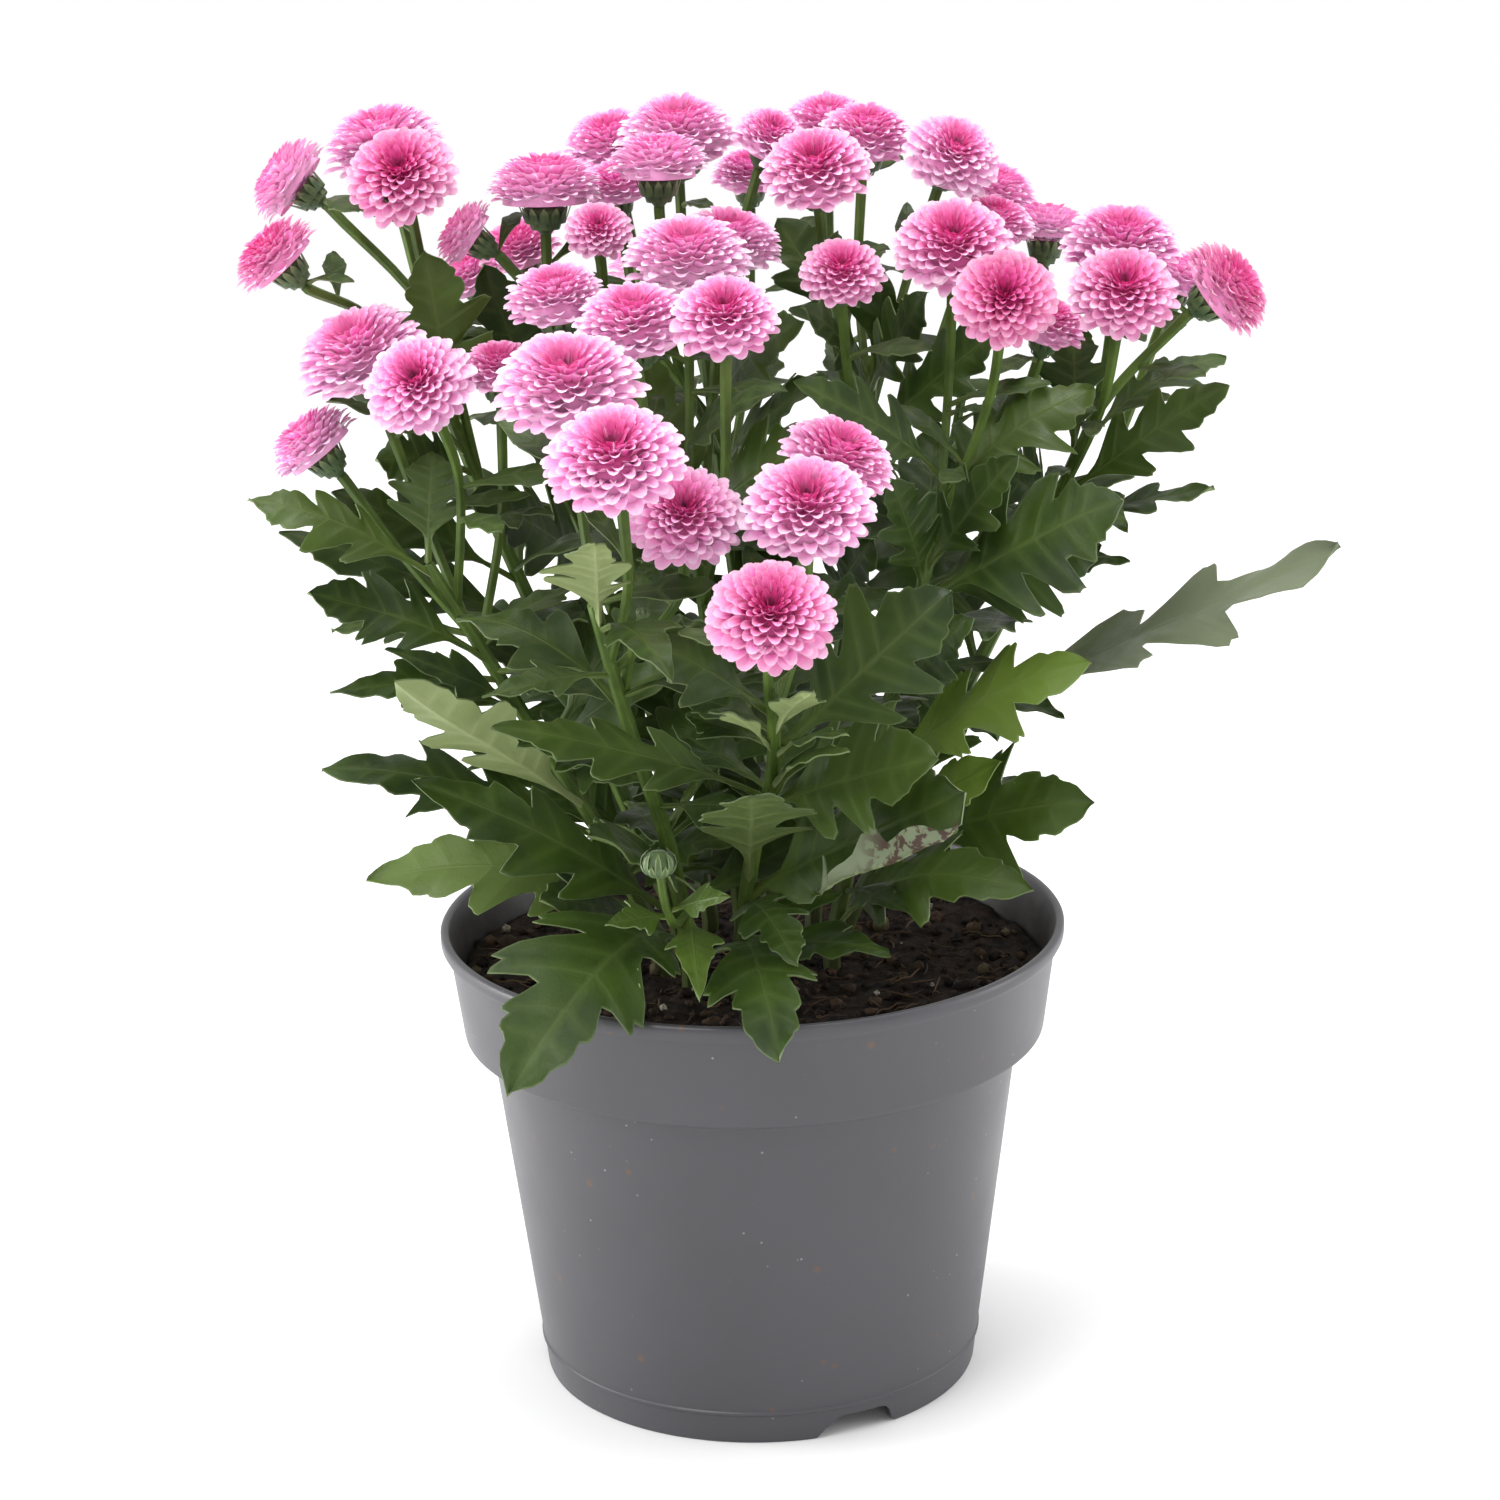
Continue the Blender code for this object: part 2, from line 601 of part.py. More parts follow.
def mesh_from(name, corners, faces):
    # A mesh from corners in millimetres
    mesh = bpy.data.meshes.new(name)
    mesh.from_pydata([Vector(c) * MM for c in corners], [], faces)
    return mesh


def apply_modifiers(item):
    # Replaces the object's mesh by the result of its modifiers
    graph = bpy.context.evaluated_depsgraph_get()
    mesh = bpy.data.meshes.new_from_object(item.evaluated_get(graph))
    old = item.data
    item.modifiers.clear()
    item.data = mesh
    bpy.data.meshes.remove(old)


def turned(name, profile, collection, material):
    # Profile from the axis over the top and down the outer side, back to the axis
    edges = [(i, i + 1) for i in range(len(profile) - 1)]
    mesh = bpy.data.meshes.new(name)
    mesh.from_pydata([(r * MM, 0, z * MM) for r, z in profile], edges, [])
    item = new_object(name, mesh, collection, material)
    screw = item.modifiers.new("turn", "SCREW")
    screw.steps = POT_SEGMENTS
    screw.render_steps = POT_SEGMENTS
    screw.use_merge_vertices = True
    screw.merge_threshold = TURN_MERGE * MM
    screw.use_normal_calculate = True
    apply_modifiers(item)
    return item


def cut(item, cutters):
    # Takes each cutter's shape away from the object
    for cutter in cutters:
        cutter.hide_render = True
        cutter.display_type = "WIRE"
        boolean = item.modifiers.new("cut", "BOOLEAN")
        boolean.operation = "DIFFERENCE"
        boolean.solver = "EXACT"
        boolean.object = cutter
    apply_modifiers(item)


def cylinder(name, spot, radius, low, high, sides, collection):
    # An upright cylinder between two heights
    body = bmesh.new()
    bmesh.ops.create_cone(body, cap_ends=True, segments=sides, radius1=radius * MM, radius2=radius * MM,
                          depth=(high - low) * MM)
    mesh = bpy.data.meshes.new(name)
    body.to_mesh(mesh)
    body.free()
    item = new_object(name, mesh, collection)
    item.location = (spot[0] * MM, spot[1] * MM, (low + high) / 2 * MM)
    return item


def tube(name, points, radii, resolution, collection):
    # A curve with a round bevel whose radius changes along it, made into a mesh
    curve = bpy.data.curves.new(name, "CURVE")
    curve.dimensions = "3D"
    curve.bevel_depth = MM
    curve.bevel_resolution = resolution
    curve.use_fill_caps = True
    spline = curve.splines.new("POLY")
    spline.points.add(len(points) - 1)
    for spot, point, radius in zip(spline.points, points, radii):
        spot.co = (point.x * MM, point.y * MM, point.z * MM, 1)
        spot.radius = radius
    source = new_object(name, curve, collection)
    graph = bpy.context.evaluated_depsgraph_get()
    mesh = bpy.data.meshes.new_from_object(source.evaluated_get(graph))
    bpy.data.objects.remove(source)
    weld(mesh)
    return new_object(name, mesh, collection)


def weld(mesh):
    # Joins corners that share a place and turns all faces outwards
    body = bmesh.new()
    body.from_mesh(mesh)
    bmesh.ops.remove_doubles(body, verts=body.verts, dist=WELD * MM)
    bmesh.ops.recalc_face_normals(body, faces=body.faces)
    body.to_mesh(mesh)
    body.free()


def wall_profile():
    # Inner face and outer face of the pot, bottom to top and top to bottom
    floor = FLOOR_RISE + WALL
    inner = [(0, WALL), (PAD_RADIUS - PAD_SLOPE, WALL), (PAD_RADIUS + PAD_SLOPE, floor),
             (FOOT_RADIUS - WALL + FLOOR_RISE / 10, floor), (STEP_RADIUS - WALL, STEP_FOOT + WALL),
             (COLLAR_FOOT_RADIUS - WALL, COLLAR_FOOT + WALL),
             (COLLAR_TOP_RADIUS - WALL, RIM_BASE - LIP_ROUND), (RIM_RADIUS - LIP_WALL, RIM_TOP - GAP)]
    outer = [(RIM_RADIUS - LIP_ROUND, RIM_TOP), (RIM_RADIUS, RIM_TOP - LIP_ROUND), (RIM_RADIUS, RIM_BASE),
             (COLLAR_TOP_RADIUS, RIM_BASE - LIP_ROUND), (COLLAR_FOOT_RADIUS, COLLAR_FOOT),
             (STEP_RADIUS, STEP_FOOT), (FOOT_RADIUS, 0.0), (FOOT_RADIUS - WALL, 0.0),
             (FOOT_RADIUS - WALL, FLOOR_RISE), (PAD_RADIUS + 2 * PAD_SLOPE, FLOOR_RISE),
             (PAD_RADIUS, 0.0), (0, 0.0)]
    return inner, outer


def build_pot(collection, cutters):
    # The turned pot, with three notches in its foot ring and drain holes in its raised floor
    material = new_material("pot_grey_plastic", POT_COLOUR, POT_DULLNESS)
    inner, outer = wall_profile()
    pot = turned("pot", inner + outer, collection, material)
    tools = []
    for number, angle in enumerate(NOTCH_ANGLES):
        turn = math.radians(angle - 90)
        body = bmesh.new()
        bmesh.ops.create_cube(body, size=1.0)
        mesh = bpy.data.meshes.new("notch")
        body.to_mesh(mesh)
        body.free()
        notch = new_object("notch_%d" % (number + 1), mesh, cutters)
        notch.scale = (NOTCH_SIZE[0] * MM, NOTCH_SIZE[1] * MM, 2 * NOTCH_SIZE[2] * MM)
        spot = Vector((FOOT_RADIUS * math.cos(turn), FOOT_RADIUS * math.sin(turn), -NOTCH_DROP))
        notch.location = spot * MM
        notch.rotation_euler = (0, 0, turn)
        tools.append(notch)
    for number in range(DRAIN_COUNT):
        turn = 2 * math.pi * (number + DRAIN_TURN) / DRAIN_COUNT
        spot = (DRAIN_RING * math.cos(turn), DRAIN_RING * math.sin(turn))
        tools.append(cylinder("drain_%d" % (number + 1), spot, DRAIN_RADIUS, FLOOR_RISE - WALL,
                              FLOOR_RISE + 2 * WALL, HOLE_SIDES, cutters))
    bpy.context.view_layer.update()
    cut(pot, tools)
    return pot


def build_soil(collection, cutters):
    # The soil fills the pot up to its uneven top, with a hole for the foot of each stem
    material = new_material("soil_peat", SOIL_COLOUR, SOIL_DULLNESS)
    inner, _ = wall_profile()
    collar_foot, collar_top = inner[5:7]
    climb = (SOIL_TOP - collar_foot[1]) / (collar_top[1] - collar_foot[1])
    edge = collar_foot[0] + (collar_top[0] - collar_foot[0]) * climb
    mound = SOIL_TOP + SOIL_MOUND
    profile = [(0, mound), (MOUND_RADII[0], mound), (MOUND_RADII[1], SOIL_TOP), (edge - GAP, SOIL_TOP - GAP)]
    profile += [(radius - GAP, height + GAP) for radius, height in inner[5:0:-1]]
    profile.append((0, WALL + GAP))
    soil = turned("soil", profile, collection, material)
    rng = random.Random(SEED + 1)
    for corner in soil.data.vertices:
        if corner.co.z > (SOIL_TOP - GAP / 2) * MM:
            corner.co.z += rng.uniform(-1, 1) * SOIL_ROUGHNESS * MM
    holes = []
    for name, points in SHOOTS.items():
        radius = (STEM_RADIUS + GAP) / math.cos(math.pi / HOLE_SIDES)
        holes.append(cylinder("hole_" + name, points[0], radius, STEM_FOOT - GAP, BEND_HEIGHT,
                              HOLE_SIDES, cutters))
    bpy.context.view_layer.update()
    cut(soil, holes)
    return soil


def build_bloom(name, bloom, collection):
    # A ball whose levels rise and fall from petal tip to gap, each set between the petals below
    _, _, size, right, front = bloom
    base, axis = bloom_base(bloom)
    radius = size / 2
    petals = FEW_PETALS_ROUND if size < SMALL_BLOOM else PETALS_ROUND
    body = bmesh.new()
    bmesh.ops.create_uvsphere(body, u_segments=petals, v_segments=BLOOM_LEVELS, radius=1.0)
    side = axis.orthogonal().normalized()
    other = axis.cross(side)
    for corner in body.verts:
        angle = math.atan2(corner.co.y, corner.co.x)
        level = round((1 - math.acos(max(-1, min(1, corner.co.z))) / math.pi) * BLOOM_LEVELS)
        if level in (0, BLOOM_LEVELS):
            reach, height = 0.0, (BLOOM_TOP if level else 0.0)
        else:
            step = round(angle / (2 * math.pi / petals))
            reach, height = (PETAL_TIPS if (step + level) % 2 else PETAL_GAPS)[level - 1]
        spot = base + axis * (height * size)
        spot += (side * math.cos(angle) + other * math.sin(angle)) * (reach * radius)
        corner.co = spot * MM
    bmesh.ops.triangulate(body, faces=body.faces)
    bmesh.ops.recalc_face_normals(body, faces=body.faces)
    mesh = bpy.data.meshes.new(name)
    body.to_mesh(mesh)
    body.free()
    return new_object(name, mesh, collection, new_material(name + "_pink", PINK, PETAL_DULLNESS))


def build_leaf(name, leaf, collection):
    # A thin blade of even thickness
    corners, faces, _ = leaf_sheet(leaf)
    item = new_object(name, mesh_from(name, corners, faces), collection)
    shell = item.modifiers.new("thickness", "SOLIDIFY")
    shell.thickness = BLADE_THICKNESS * MM
    shell.offset = 0.0
    apply_modifiers(item)
    return item


def build_bud(name, spot, radius, collection):
    # A closed round bud
    body = bmesh.new()
    bmesh.ops.create_uvsphere(body, u_segments=BUD_SIDES, v_segments=BUD_LEVELS, radius=radius * MM)
    mesh = bpy.data.meshes.new(name)
    body.to_mesh(mesh)
    body.free()
    item = new_object(name, mesh, collection)
    item.location = Vector(spot) * MM
    return item


def join_all(name, pieces, collection, material):
    # One union of the shoot's stem, stalks, cups, leaves and buds
    first = pieces[0]
    group = bpy.data.collections.new(name + "_pieces")
    bpy.context.scene.collection.children.link(group)
    for piece in pieces[1:]:
        group.objects.link(piece)
    bpy.context.view_layer.update()
    union = first.modifiers.new("union", "BOOLEAN")
    union.operation = "UNION"
    union.operand_type = "COLLECTION"
    union.collection = group
    union.solver = "EXACT"
    apply_modifiers(first)
    for piece in pieces[1:]:
        bpy.data.objects.remove(piece)
    bpy.data.collections.remove(group)
    weld(first.data)
    first.name = name
    first.data.materials.clear()
    first.data.materials.append(material)
    return first


def build_shoot(name, paths, stalks, leaves, collection):
    # One leafy stem with its side stalks, cups, leaves and buds, as one closed body
    base = Vector(SHOOTS[name][0])
    foot = [Vector((base.x, base.y, STEM_FOOT))] + paths[name]
    pieces = [tube(name + "_stem", foot, [STEM_RADIUS] + stem_radii(paths[name]), 1, collection)]
    for number, (points, radii) in enumerate(stalks[name]):
        stalk = "%s_stalk_%d" % (name, number)
        pieces.append(tube(stalk, points, radii, STALK_SIDES_RESOLUTION, collection))
    for number, leaf in enumerate(leaves[name]):
        pieces.append(build_leaf("%s_leaf_%d" % (name, number), leaf, collection))
    for bud, (shoot, _, points, radius) in BUDS.items():
        if shoot == name:
            pieces.append(build_bud(bud, points[-1], radius, collection))
    material = new_material("leaf_green_" + name, GREEN, LEAF_DULLNESS)
    return join_all("shoot_" + name, pieces, collection, material)


def main():
    for item in list(bpy.data.objects):
        bpy.data.objects.remove(item)
    parts = bpy.data.collections.new("pot_chrysanthemum")
    cutters = bpy.data.collections.new("cutters")
    bpy.context.scene.collection.children.link(parts)
    bpy.context.scene.collection.children.link(cutters)
    paths, stalks, leaves = grow()
    build_pot(parts, cutters)
    build_soil(parts, cutters)
    for name in SHOOTS:
        build_shoot(name, paths, stalks, leaves, parts)
    for number, bloom in enumerate(BLOOMS):
        build_bloom("bloom_%02d" % (number + 1), bloom, parts)


main()
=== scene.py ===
# The looks of the pot chrysanthemum: fine petals, leaves, stems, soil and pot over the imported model
# The layout is in millimetres, the front of the plant is -Y, and meshes are made in metres
import math
import random

import bmesh
import bpy
import numpy as np
from mathutils import Matrix, Vector
from mathutils.bvhtree import BVHTree


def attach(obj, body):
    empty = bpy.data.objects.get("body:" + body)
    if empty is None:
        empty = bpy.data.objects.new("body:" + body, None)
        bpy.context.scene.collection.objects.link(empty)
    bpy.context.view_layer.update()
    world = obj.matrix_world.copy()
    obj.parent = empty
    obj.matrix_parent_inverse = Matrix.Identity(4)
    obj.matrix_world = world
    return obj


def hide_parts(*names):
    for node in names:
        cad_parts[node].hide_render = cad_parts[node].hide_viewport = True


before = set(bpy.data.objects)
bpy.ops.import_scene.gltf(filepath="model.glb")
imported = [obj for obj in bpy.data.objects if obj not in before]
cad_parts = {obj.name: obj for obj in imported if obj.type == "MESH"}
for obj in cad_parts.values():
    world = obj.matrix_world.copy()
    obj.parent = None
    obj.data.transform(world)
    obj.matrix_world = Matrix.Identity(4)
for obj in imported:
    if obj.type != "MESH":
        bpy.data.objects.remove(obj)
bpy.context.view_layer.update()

MM = 0.001
GAP = 0.3
SEED = 24

# Pot
POT_SEGMENTS = 28
POT_ROOM = 1.2
WALL = 1.6
RIM_RADIUS = 70.0
RIM_TOP = 106.0
RIM_BASE = 102.9
COLLAR_TOP_RADIUS = 68.1
COLLAR_FOOT_RADIUS = 65.4
COLLAR_FOOT = 81.5
STEP_RADIUS = 59.4
STEP_FOOT = 79.0
FOOT_RADIUS = 49.3
PAD_RADIUS = 30.0
FLOOR_RISE = 6.0
NOTCH_ANGLES = (25.0, 145.0, 265.0)
NOTCH_SIZE = (8.0, 20.0, 5.0)

# Soil and stems
SOIL_TOP = 95.0
STEM_RADIUS = 2.0
STEM_TAPER = 0.35
STALK_RADIUS = 1.1
STALK_NECK = 1.2
STALK_TRIES = 60
STALK_TOP = 0.98
STALK_LOWER = 0.4
STALK_REACH = 0.42
STALK_SAG = 0.06
STALK_EVEN = 0.35
STALK_WANDER = 0.25
BEND_HEIGHT = 101.0
STEM_SPANS = 5

# Blooms
PETALS_ROUND = 14
BLOOM_HEIGHT = 0.5
CUP_RADIUS = 0.29
CUP_HEIGHT = 5.5

# Leaves
CLEARANCE = 1.0
STEM_ROOM = 0.6
SPREAD = 1.06
ROOT_SHARE = 0.13
AXIL_SHARE = 0.30
ROOT_DROP = 0.008
FOLD = 0.16
TIP_CURL = 0.30
SHOOT_LEAVES = 10
FEWEST_RULE_LEAVES = 3
LEAF_TRIES = 60
SIGHT_SLOPE = 17.2
SIGHT_PLAY = 0.6
SIDE_PLAY = 0.12
ROOT_PLAY = 0.1
TILT_PLAY = 0.5
LEAF_SHRINK = 0.004
LOW_LEAF = 60.0
TOP_LEAF = 34.0
LOBED_SHARE = 0.38
RULE_LEAVES_FROM = 0.06
RULE_LEAVES_SPAN = 0.92
RULE_STEP = (0.2, 0.8)
RULE_TURN = 3.0
LOW_REACH = 58.0
LOW_REACH_TOP = 160.0
LEAF_RISE = (-5.0, 45.0)
LEAF_WIDTH = (0.44, 0.56)
LEAF_BOW = (2.0, 7.0)
FACE_FRONT = (-0.8, 0.1)
FACE_OUT = (-0.1, 0.3)
PLAIN_WIDTH = 15.0
STUB_RADIUS = 1.6
BUD_STALK_RADIUS = 1.0
GOLDEN_ANGLE = 137.5

# The room that a bloom takes, from its foot to its top: heights in diameters and reaches in radii
BLOOM_ROOM = ((0.0, 0.30), (0.10, 0.98), (0.26, 1.0), (0.40, 0.82), (0.50, 0.45), (0.51, 0.05))

# Each shoot: the stem's points above the soil, the first one its place in the soil
SHOOTS = {
    "left_back": ((-17, 9, 95), (-30, 12, 135), (-52, 17, 185), (-66, 20, 222)),
    "left_front": ((-20, -7, 95), (-33, -10, 130), (-51, -13, 162), (-68, -15, 193)),
    "back_left": ((-10, 22, 95), (-20, 30, 140), (-36, 34, 185), (-47, 36, 215)),
    "front_left": ((-14, -17, 95), (-17, -29, 130), (-25, -46, 165), (-31, -62, 196)),
    "front_right": ((-3, -22, 95), (0, -33, 130), (5, -49, 155), (5, -70, 178)),
    "centre": ((-2, 0, 95), (-5, -4, 140), (-9, -6, 180), (-13, -8, 212)),
    "back": ((4, 21, 95), (2, 30, 140), (-4, 38, 190), (-8, 43, 228)),
    "back_right": ((14, 12, 95), (18, 20, 140), (26, 30, 190), (30, 36, 226)),
    "right": ((18, -6, 95), (26, -8, 140), (38, -4, 180), (44, -2, 208)),
    "far_right": ((21, 5, 95), (38, 8, 135), (60, 13, 177), (74, 17, 207)),
}

# Each bloom: shoot, centre, diameter, lean to the right and lean to the front in degrees
BLOOMS = (
    ("left_back", (-79, 43, 276), 28.5, -12, 5),
    ("left_back", (-72, 8, 274), 25.0, -6, 42),
    ("left_back", (-99, 29, 270), 21.5, -55, -10),
    ("left_back", (-100, 4, 258), 21.0, -41, 5),
    ("back_left", (-60, 18, 259), 17.0, -55, 0),
    ("back_left", (-50, 52, 250), 20.0, -15, 10),
    ("back_left", (-62, 68, 241), 18.5, -25, 10),
    ("back_left", (-42, 22, 269), 26.0, 0, -4),
    ("back", (-29, 74, 270), 25.0, -10, 10),
    ("back", (-13, 54, 275), 28.8, 0, 10),
    ("back", (-17, 20, 274), 22.8, 0, -3),
    ("back", (-27, 38, 266), 17.8, -5, 10),
    ("back", (8, 44, 275), 17.8, 20, 25),
    ("back", (3, 76, 262), 18.5, 0, 10),
    ("back", (-20, 94, 238), 24.0, -5, -15),
    ("back_right", (17, 10, 273), 25.0, -4, 28),
    ("back_right", (21, 74, 273), 24.2, 0, 10),
    ("back_right", (29, 45, 275), 23.2, 5, 10),
    ("back_right", (48, 33, 272), 23.0, 20, 33),
    ("back_right", (59, 70, 258), 22.6, 20, 5),
    ("right", (46, -2, 258), 27.0, 0, 30),
    ("right", (57, 37, 256), 19.5, 10, 10),
    ("right", (55, -32, 252), 22.7, 0, 50),
    ("right", (68, 16, 237), 17.5, 15, 15),
    ("right", (22, -4, 253), 19.0, 0, 33),
    ("far_right", (70, 53, 252), 20.0, 5, -15),
    ("far_right", (85, 30, 252), 28.0, 5, 12),
    ("far_right", (82, -6, 248), 24.5, 3, 35),
    ("far_right", (101, 58, 239), 20.0, 20, 0),
    ("far_right", (106, 6, 246), 23.3, 52, 20),
    ("centre", (-30, 8, 261), 15.0, 0, 40),
    ("centre", (-39, -8, 250), 23.0, -5, 10),
    ("centre", (-11, -3, 257), 28.6, 0, 12),
    ("centre", (-2, 26, 255), 24.7, 8, 8),
    ("centre", (-22, -28, 248), 26.6, -3, 12),
    ("centre", (-3, -50, 253), 23.0, 0, 27),
    ("left_front", (-82, -4, 238), 30.0, -18, 15),
    ("left_front", (-67, -34, 237), 24.0, -20, 45),
    ("left_front", (-52, 0, 233), 19.0, 0, 10),
    ("left_front", (-93, -6, 219), 21.5, -38, 0),
    ("front_left", (-35, -55, 241), 32.0, -3, 18),
    ("front_left", (-25, -84, 232), 29.4, -5, 27),
    ("front_left", (-12, -60, 214), 25.4, 0, 34),
    ("front_right", (13, -67, 217), 28.3, 0, 28),
    ("front_right", (20, -40, 221), 25.3, 20, 15),
    ("front_right", (5, -89, 201), 26.8, 3, 37),
)

# Each leaf that shows by itself: shoot, height of its root on the stem, tip, width,
# lean of its upper face to the front in degrees, and how far its rib bows up
LEAVES = (
    ("far_right", 148, (128, -10, 193), 36, 16, -1),
    ("right", 138, (74, -32, 172), 30, 32, 6),
    ("right", 120, (55, -22, 148), 20, 45, 5),
    ("far_right", 114, (76, -16, 136), 32, 45, 10),
    ("right", 106, (67, -30, 124), 30, 25, 9),
    ("front_right", 120, (44, -64, 155), 34, 48, 4),
    ("front_right", 144, (39, -60, 161), 30, 45, 4),
    ("front_right", 160, (43, -50, 194), 26, 60, 4),
    ("right", 178, (81, -25, 206), 30, 45, 4),
    ("right", 180, (78, -2, 191), 24, 60, 4),
    ("far_right", 188, (103, 5, 202), 16, 10, 2),
    ("far_right", 196, (107, 10, 223), 19, 50, 3),
    ("far_right", 206, (112, 24, 231), 16, 30, 7),
    ("left_front", 190, (-105, -24, 210), 20, 30, 3),
    ("left_back", 168, (-103, 10, 194), 22, 30, 3),
    ("left_front", 170, (-93, -24, 190), 19, 35, 4),
    ("left_front", 158, (-76, -31, 180), 15, 40, 2),
    ("left_front", 136, (-73, -52, 179), 26, -50, 0),
    ("front_left", 112, (-74, -40, 155), 25, 45, 5),
    ("left_front", 128, (-94, -10, 145), 22, 25, 5),
    ("left_front", 107, (-84, -20, 124), 28, 35, 12),
    ("front_left", 105, (-51, -78, 97), 36, 35, 18),
    ("front_right", 103, (5, -83, 104), 25, 25, 14),
    ("low_bud", 124, (-11, -84, 118), 14, 30, 2),
    ("low_bud", 128, (-30, -76, 132), 9, 40, 1),
    ("low_bud", 130, (-4, -76, 137), 9, 45, 1),
    ("front_right", 116, (15, -60, 110), 20, 25, 6),
    ("left_front", 108, (-47, -50, 126), 20, 40, 3),
    ("front_right", 148, (-52, -74, 174), 18, 40, 4),
    ("front_left", 190, (-28, -88, 216), 20, -30, 2),
    ("front_right", 167, (13, -92, 186), 12, -20, 1),
    ("front_right", 162, (-8, -88, 180), 9, 10, 2),
    ("front_right", 157, (21, -86, 180), 10, 20, 2),
    ("front_right", 151, (20, -88, 172), 10, 35, 2),
    ("right", 202, (81, 2, 228), 26, 45, 3),
    ("right", 186, (59, -18, 215), 18, 45, 2),
    ("right", 182, (32, -22, 211), 16, 45, 2),
    ("right", 206, (12, -20, 233), 20, 40, 3),
    ("centre", 196, (16, -26, 222), 24, 45, 3),
    ("back_right", 205, (58, 18, 236), 22, 40, 3),
    ("back_right", 220, (9, 40, 257), 20, 55, 2),
    ("back_right", 214, (13, 6, 243), 18, 45, 3),
    ("back_right", 218, (41, 10, 245), 18, 50, 2),
    ("far_right", 206, (74, 32, 236), 20, 50, 2),
    ("far_right", 192, (54, 6, 206), 22, 45, 3),
    ("left_back", 214, (-68, 10, 257), 24, 60, 3),
    ("back_left", 210, (-56, 26, 250), 22, 50, 3),
    ("left_back", 180, (-91, 10, 203), 18, 40, 2),
    ("back_left", 176, (-61, 3, 203), 28, 45, 4),
    ("centre", 192, (-21, 12, 234), 19, 50, 2),
    ("back", 212, (14, 12, 239), 22, 50, 3),
    ("back", 200, (20, 4, 230), 18, 40, 3),
    ("right", 114, (34, -42, 121), 9, 50, 2),
    ("back_right", 170, (28, 10, 190), 20, 45, 3),
    ("back_right", 226, (32, 26, 247), 14, 50, 2),
    ("left_back", 206, (-84, -4, 213), 22, 45, 3),
    ("left_front", 206, (-67, -2, 215), 16, 45, 2),
    ("back_left", 196, (-49, 14, 212), 18, 50, 2),
    ("back_left", 110, (-40, 34, 125), 26, 40, 4),
    ("back", 108, (-10, 50, 123), 26, 35, 4),
    ("left_back", 112, (-37, 22, 135), 22, 45, 3),
    ("centre", 126, (-24, 16, 164), 24, 45, 4),
    ("back_left", 138, (-41, 40, 153), 24, 45, 4),
    ("left_back", 146, (-54, 24, 163), 26, 45, 4),
    ("right", 158, (50, -14, 180), 20, 50, 2),
    ("left_front", 134, (-35, 16, 178), 24, 45, 3),
    ("right", 192, (59, 6, 228), 18, 50, 2),
    ("left_front", 150, (-18, 10, 183), 22, 45, 3),
    ("right", 186, (41, 14, 222), 18, 50, 2),
)

# Each bud: shoot, height of the stalk's root, the stalk's further points up to the bud, radius
BUDS = {
    "low_bud": ("front_left", 112, ((-13, -44, 123), (-17, -62, 127), (-19, -70, 143)), 4.2),
    "high_bud": ("front_left", 170, ((-24, -52, 182), (-21, -58, 193)), 1.6),
}

# Two forms of leaf, each with its half outline and the corners on its rib:
# shares of the length, and in the outline also shares of half the width
LOBED = (
    ((0.0, 0.08), (0.27, 0.12), (0.47, 0.95), (0.53, 0.42), (0.74, 1.0), (0.80, 0.50)),
    (0.30, 0.53, 0.81),
)
PLAIN = (
    ((0.0, 0.10), (0.22, 0.12), (0.50, 1.0), (0.62, 0.52)),
    (0.32,),
)


# Layout, the same as in the CAD source

def smooth_path(points, count):
    # Points at even steps on a smooth curve through the given points
    spots = [Vector(p) for p in points]
    spots = [spots[0] * 2 - spots[1]] + spots + [spots[-1] * 2 - spots[-2]]
    spans = len(spots) - 3
    path = []
    for index in range(count + 1):
        place = index / count * spans
        span = min(int(place), spans - 1)
        t = place - span
        a, b, c, d = spots[span:span + 4]
        path.append(0.5 * (2 * b + (c - a) * t + (2 * a - 5 * b + 4 * c - d) * t ** 2
                           + (3 * b - a - 3 * c + d) * t ** 3))
    return path


def stem_path(name, count):
    # The stem above the bend, after the straight length that stands in the soil
    base = Vector(SHOOTS[name][0])
    bend = Vector((base.x, base.y, BEND_HEIGHT))
    return smooth_path([bend] + list(SHOOTS[name][1:]), count)


def stem_radii(path):
    # The stem's radius at each point of its path, thinner towards the top
    last = len(path) - 1
    return [STEM_RADIUS * (1 - STEM_TAPER * index / last) for index in range(len(path))]


def point_at_share(path, share):
    # The point a share of the way along a path
    place = min(max(share, 0.0), 0.999) * (len(path) - 1)
    low = int(place)
    return path[low].lerp(path[low + 1], place - low)


def point_at_height(path, height):
    # The point of a rising path at a height
    for low, high in zip(path, path[1:]):
        if low.z <= height <= high.z:
            return low.lerp(high, (height - low.z) / (high.z - low.z))
    return path[-1].copy() if height > path[-1].z else path[0].copy()


def bloom_axis(right, front):
    # The direction that a bloom faces, from its two leans in degrees
    axis = Vector((math.tan(math.radians(right)), -math.tan(math.radians(front)), 1.0))
    return axis.normalized()


def bloom_base(bloom):
    # The middle of a bloom's foot, and the bloom's direction
    axis = bloom_axis(bloom[3], bloom[4])
    return Vector(bloom[1]) - axis * (BLOOM_HEIGHT / 2 * bloom[2]), axis


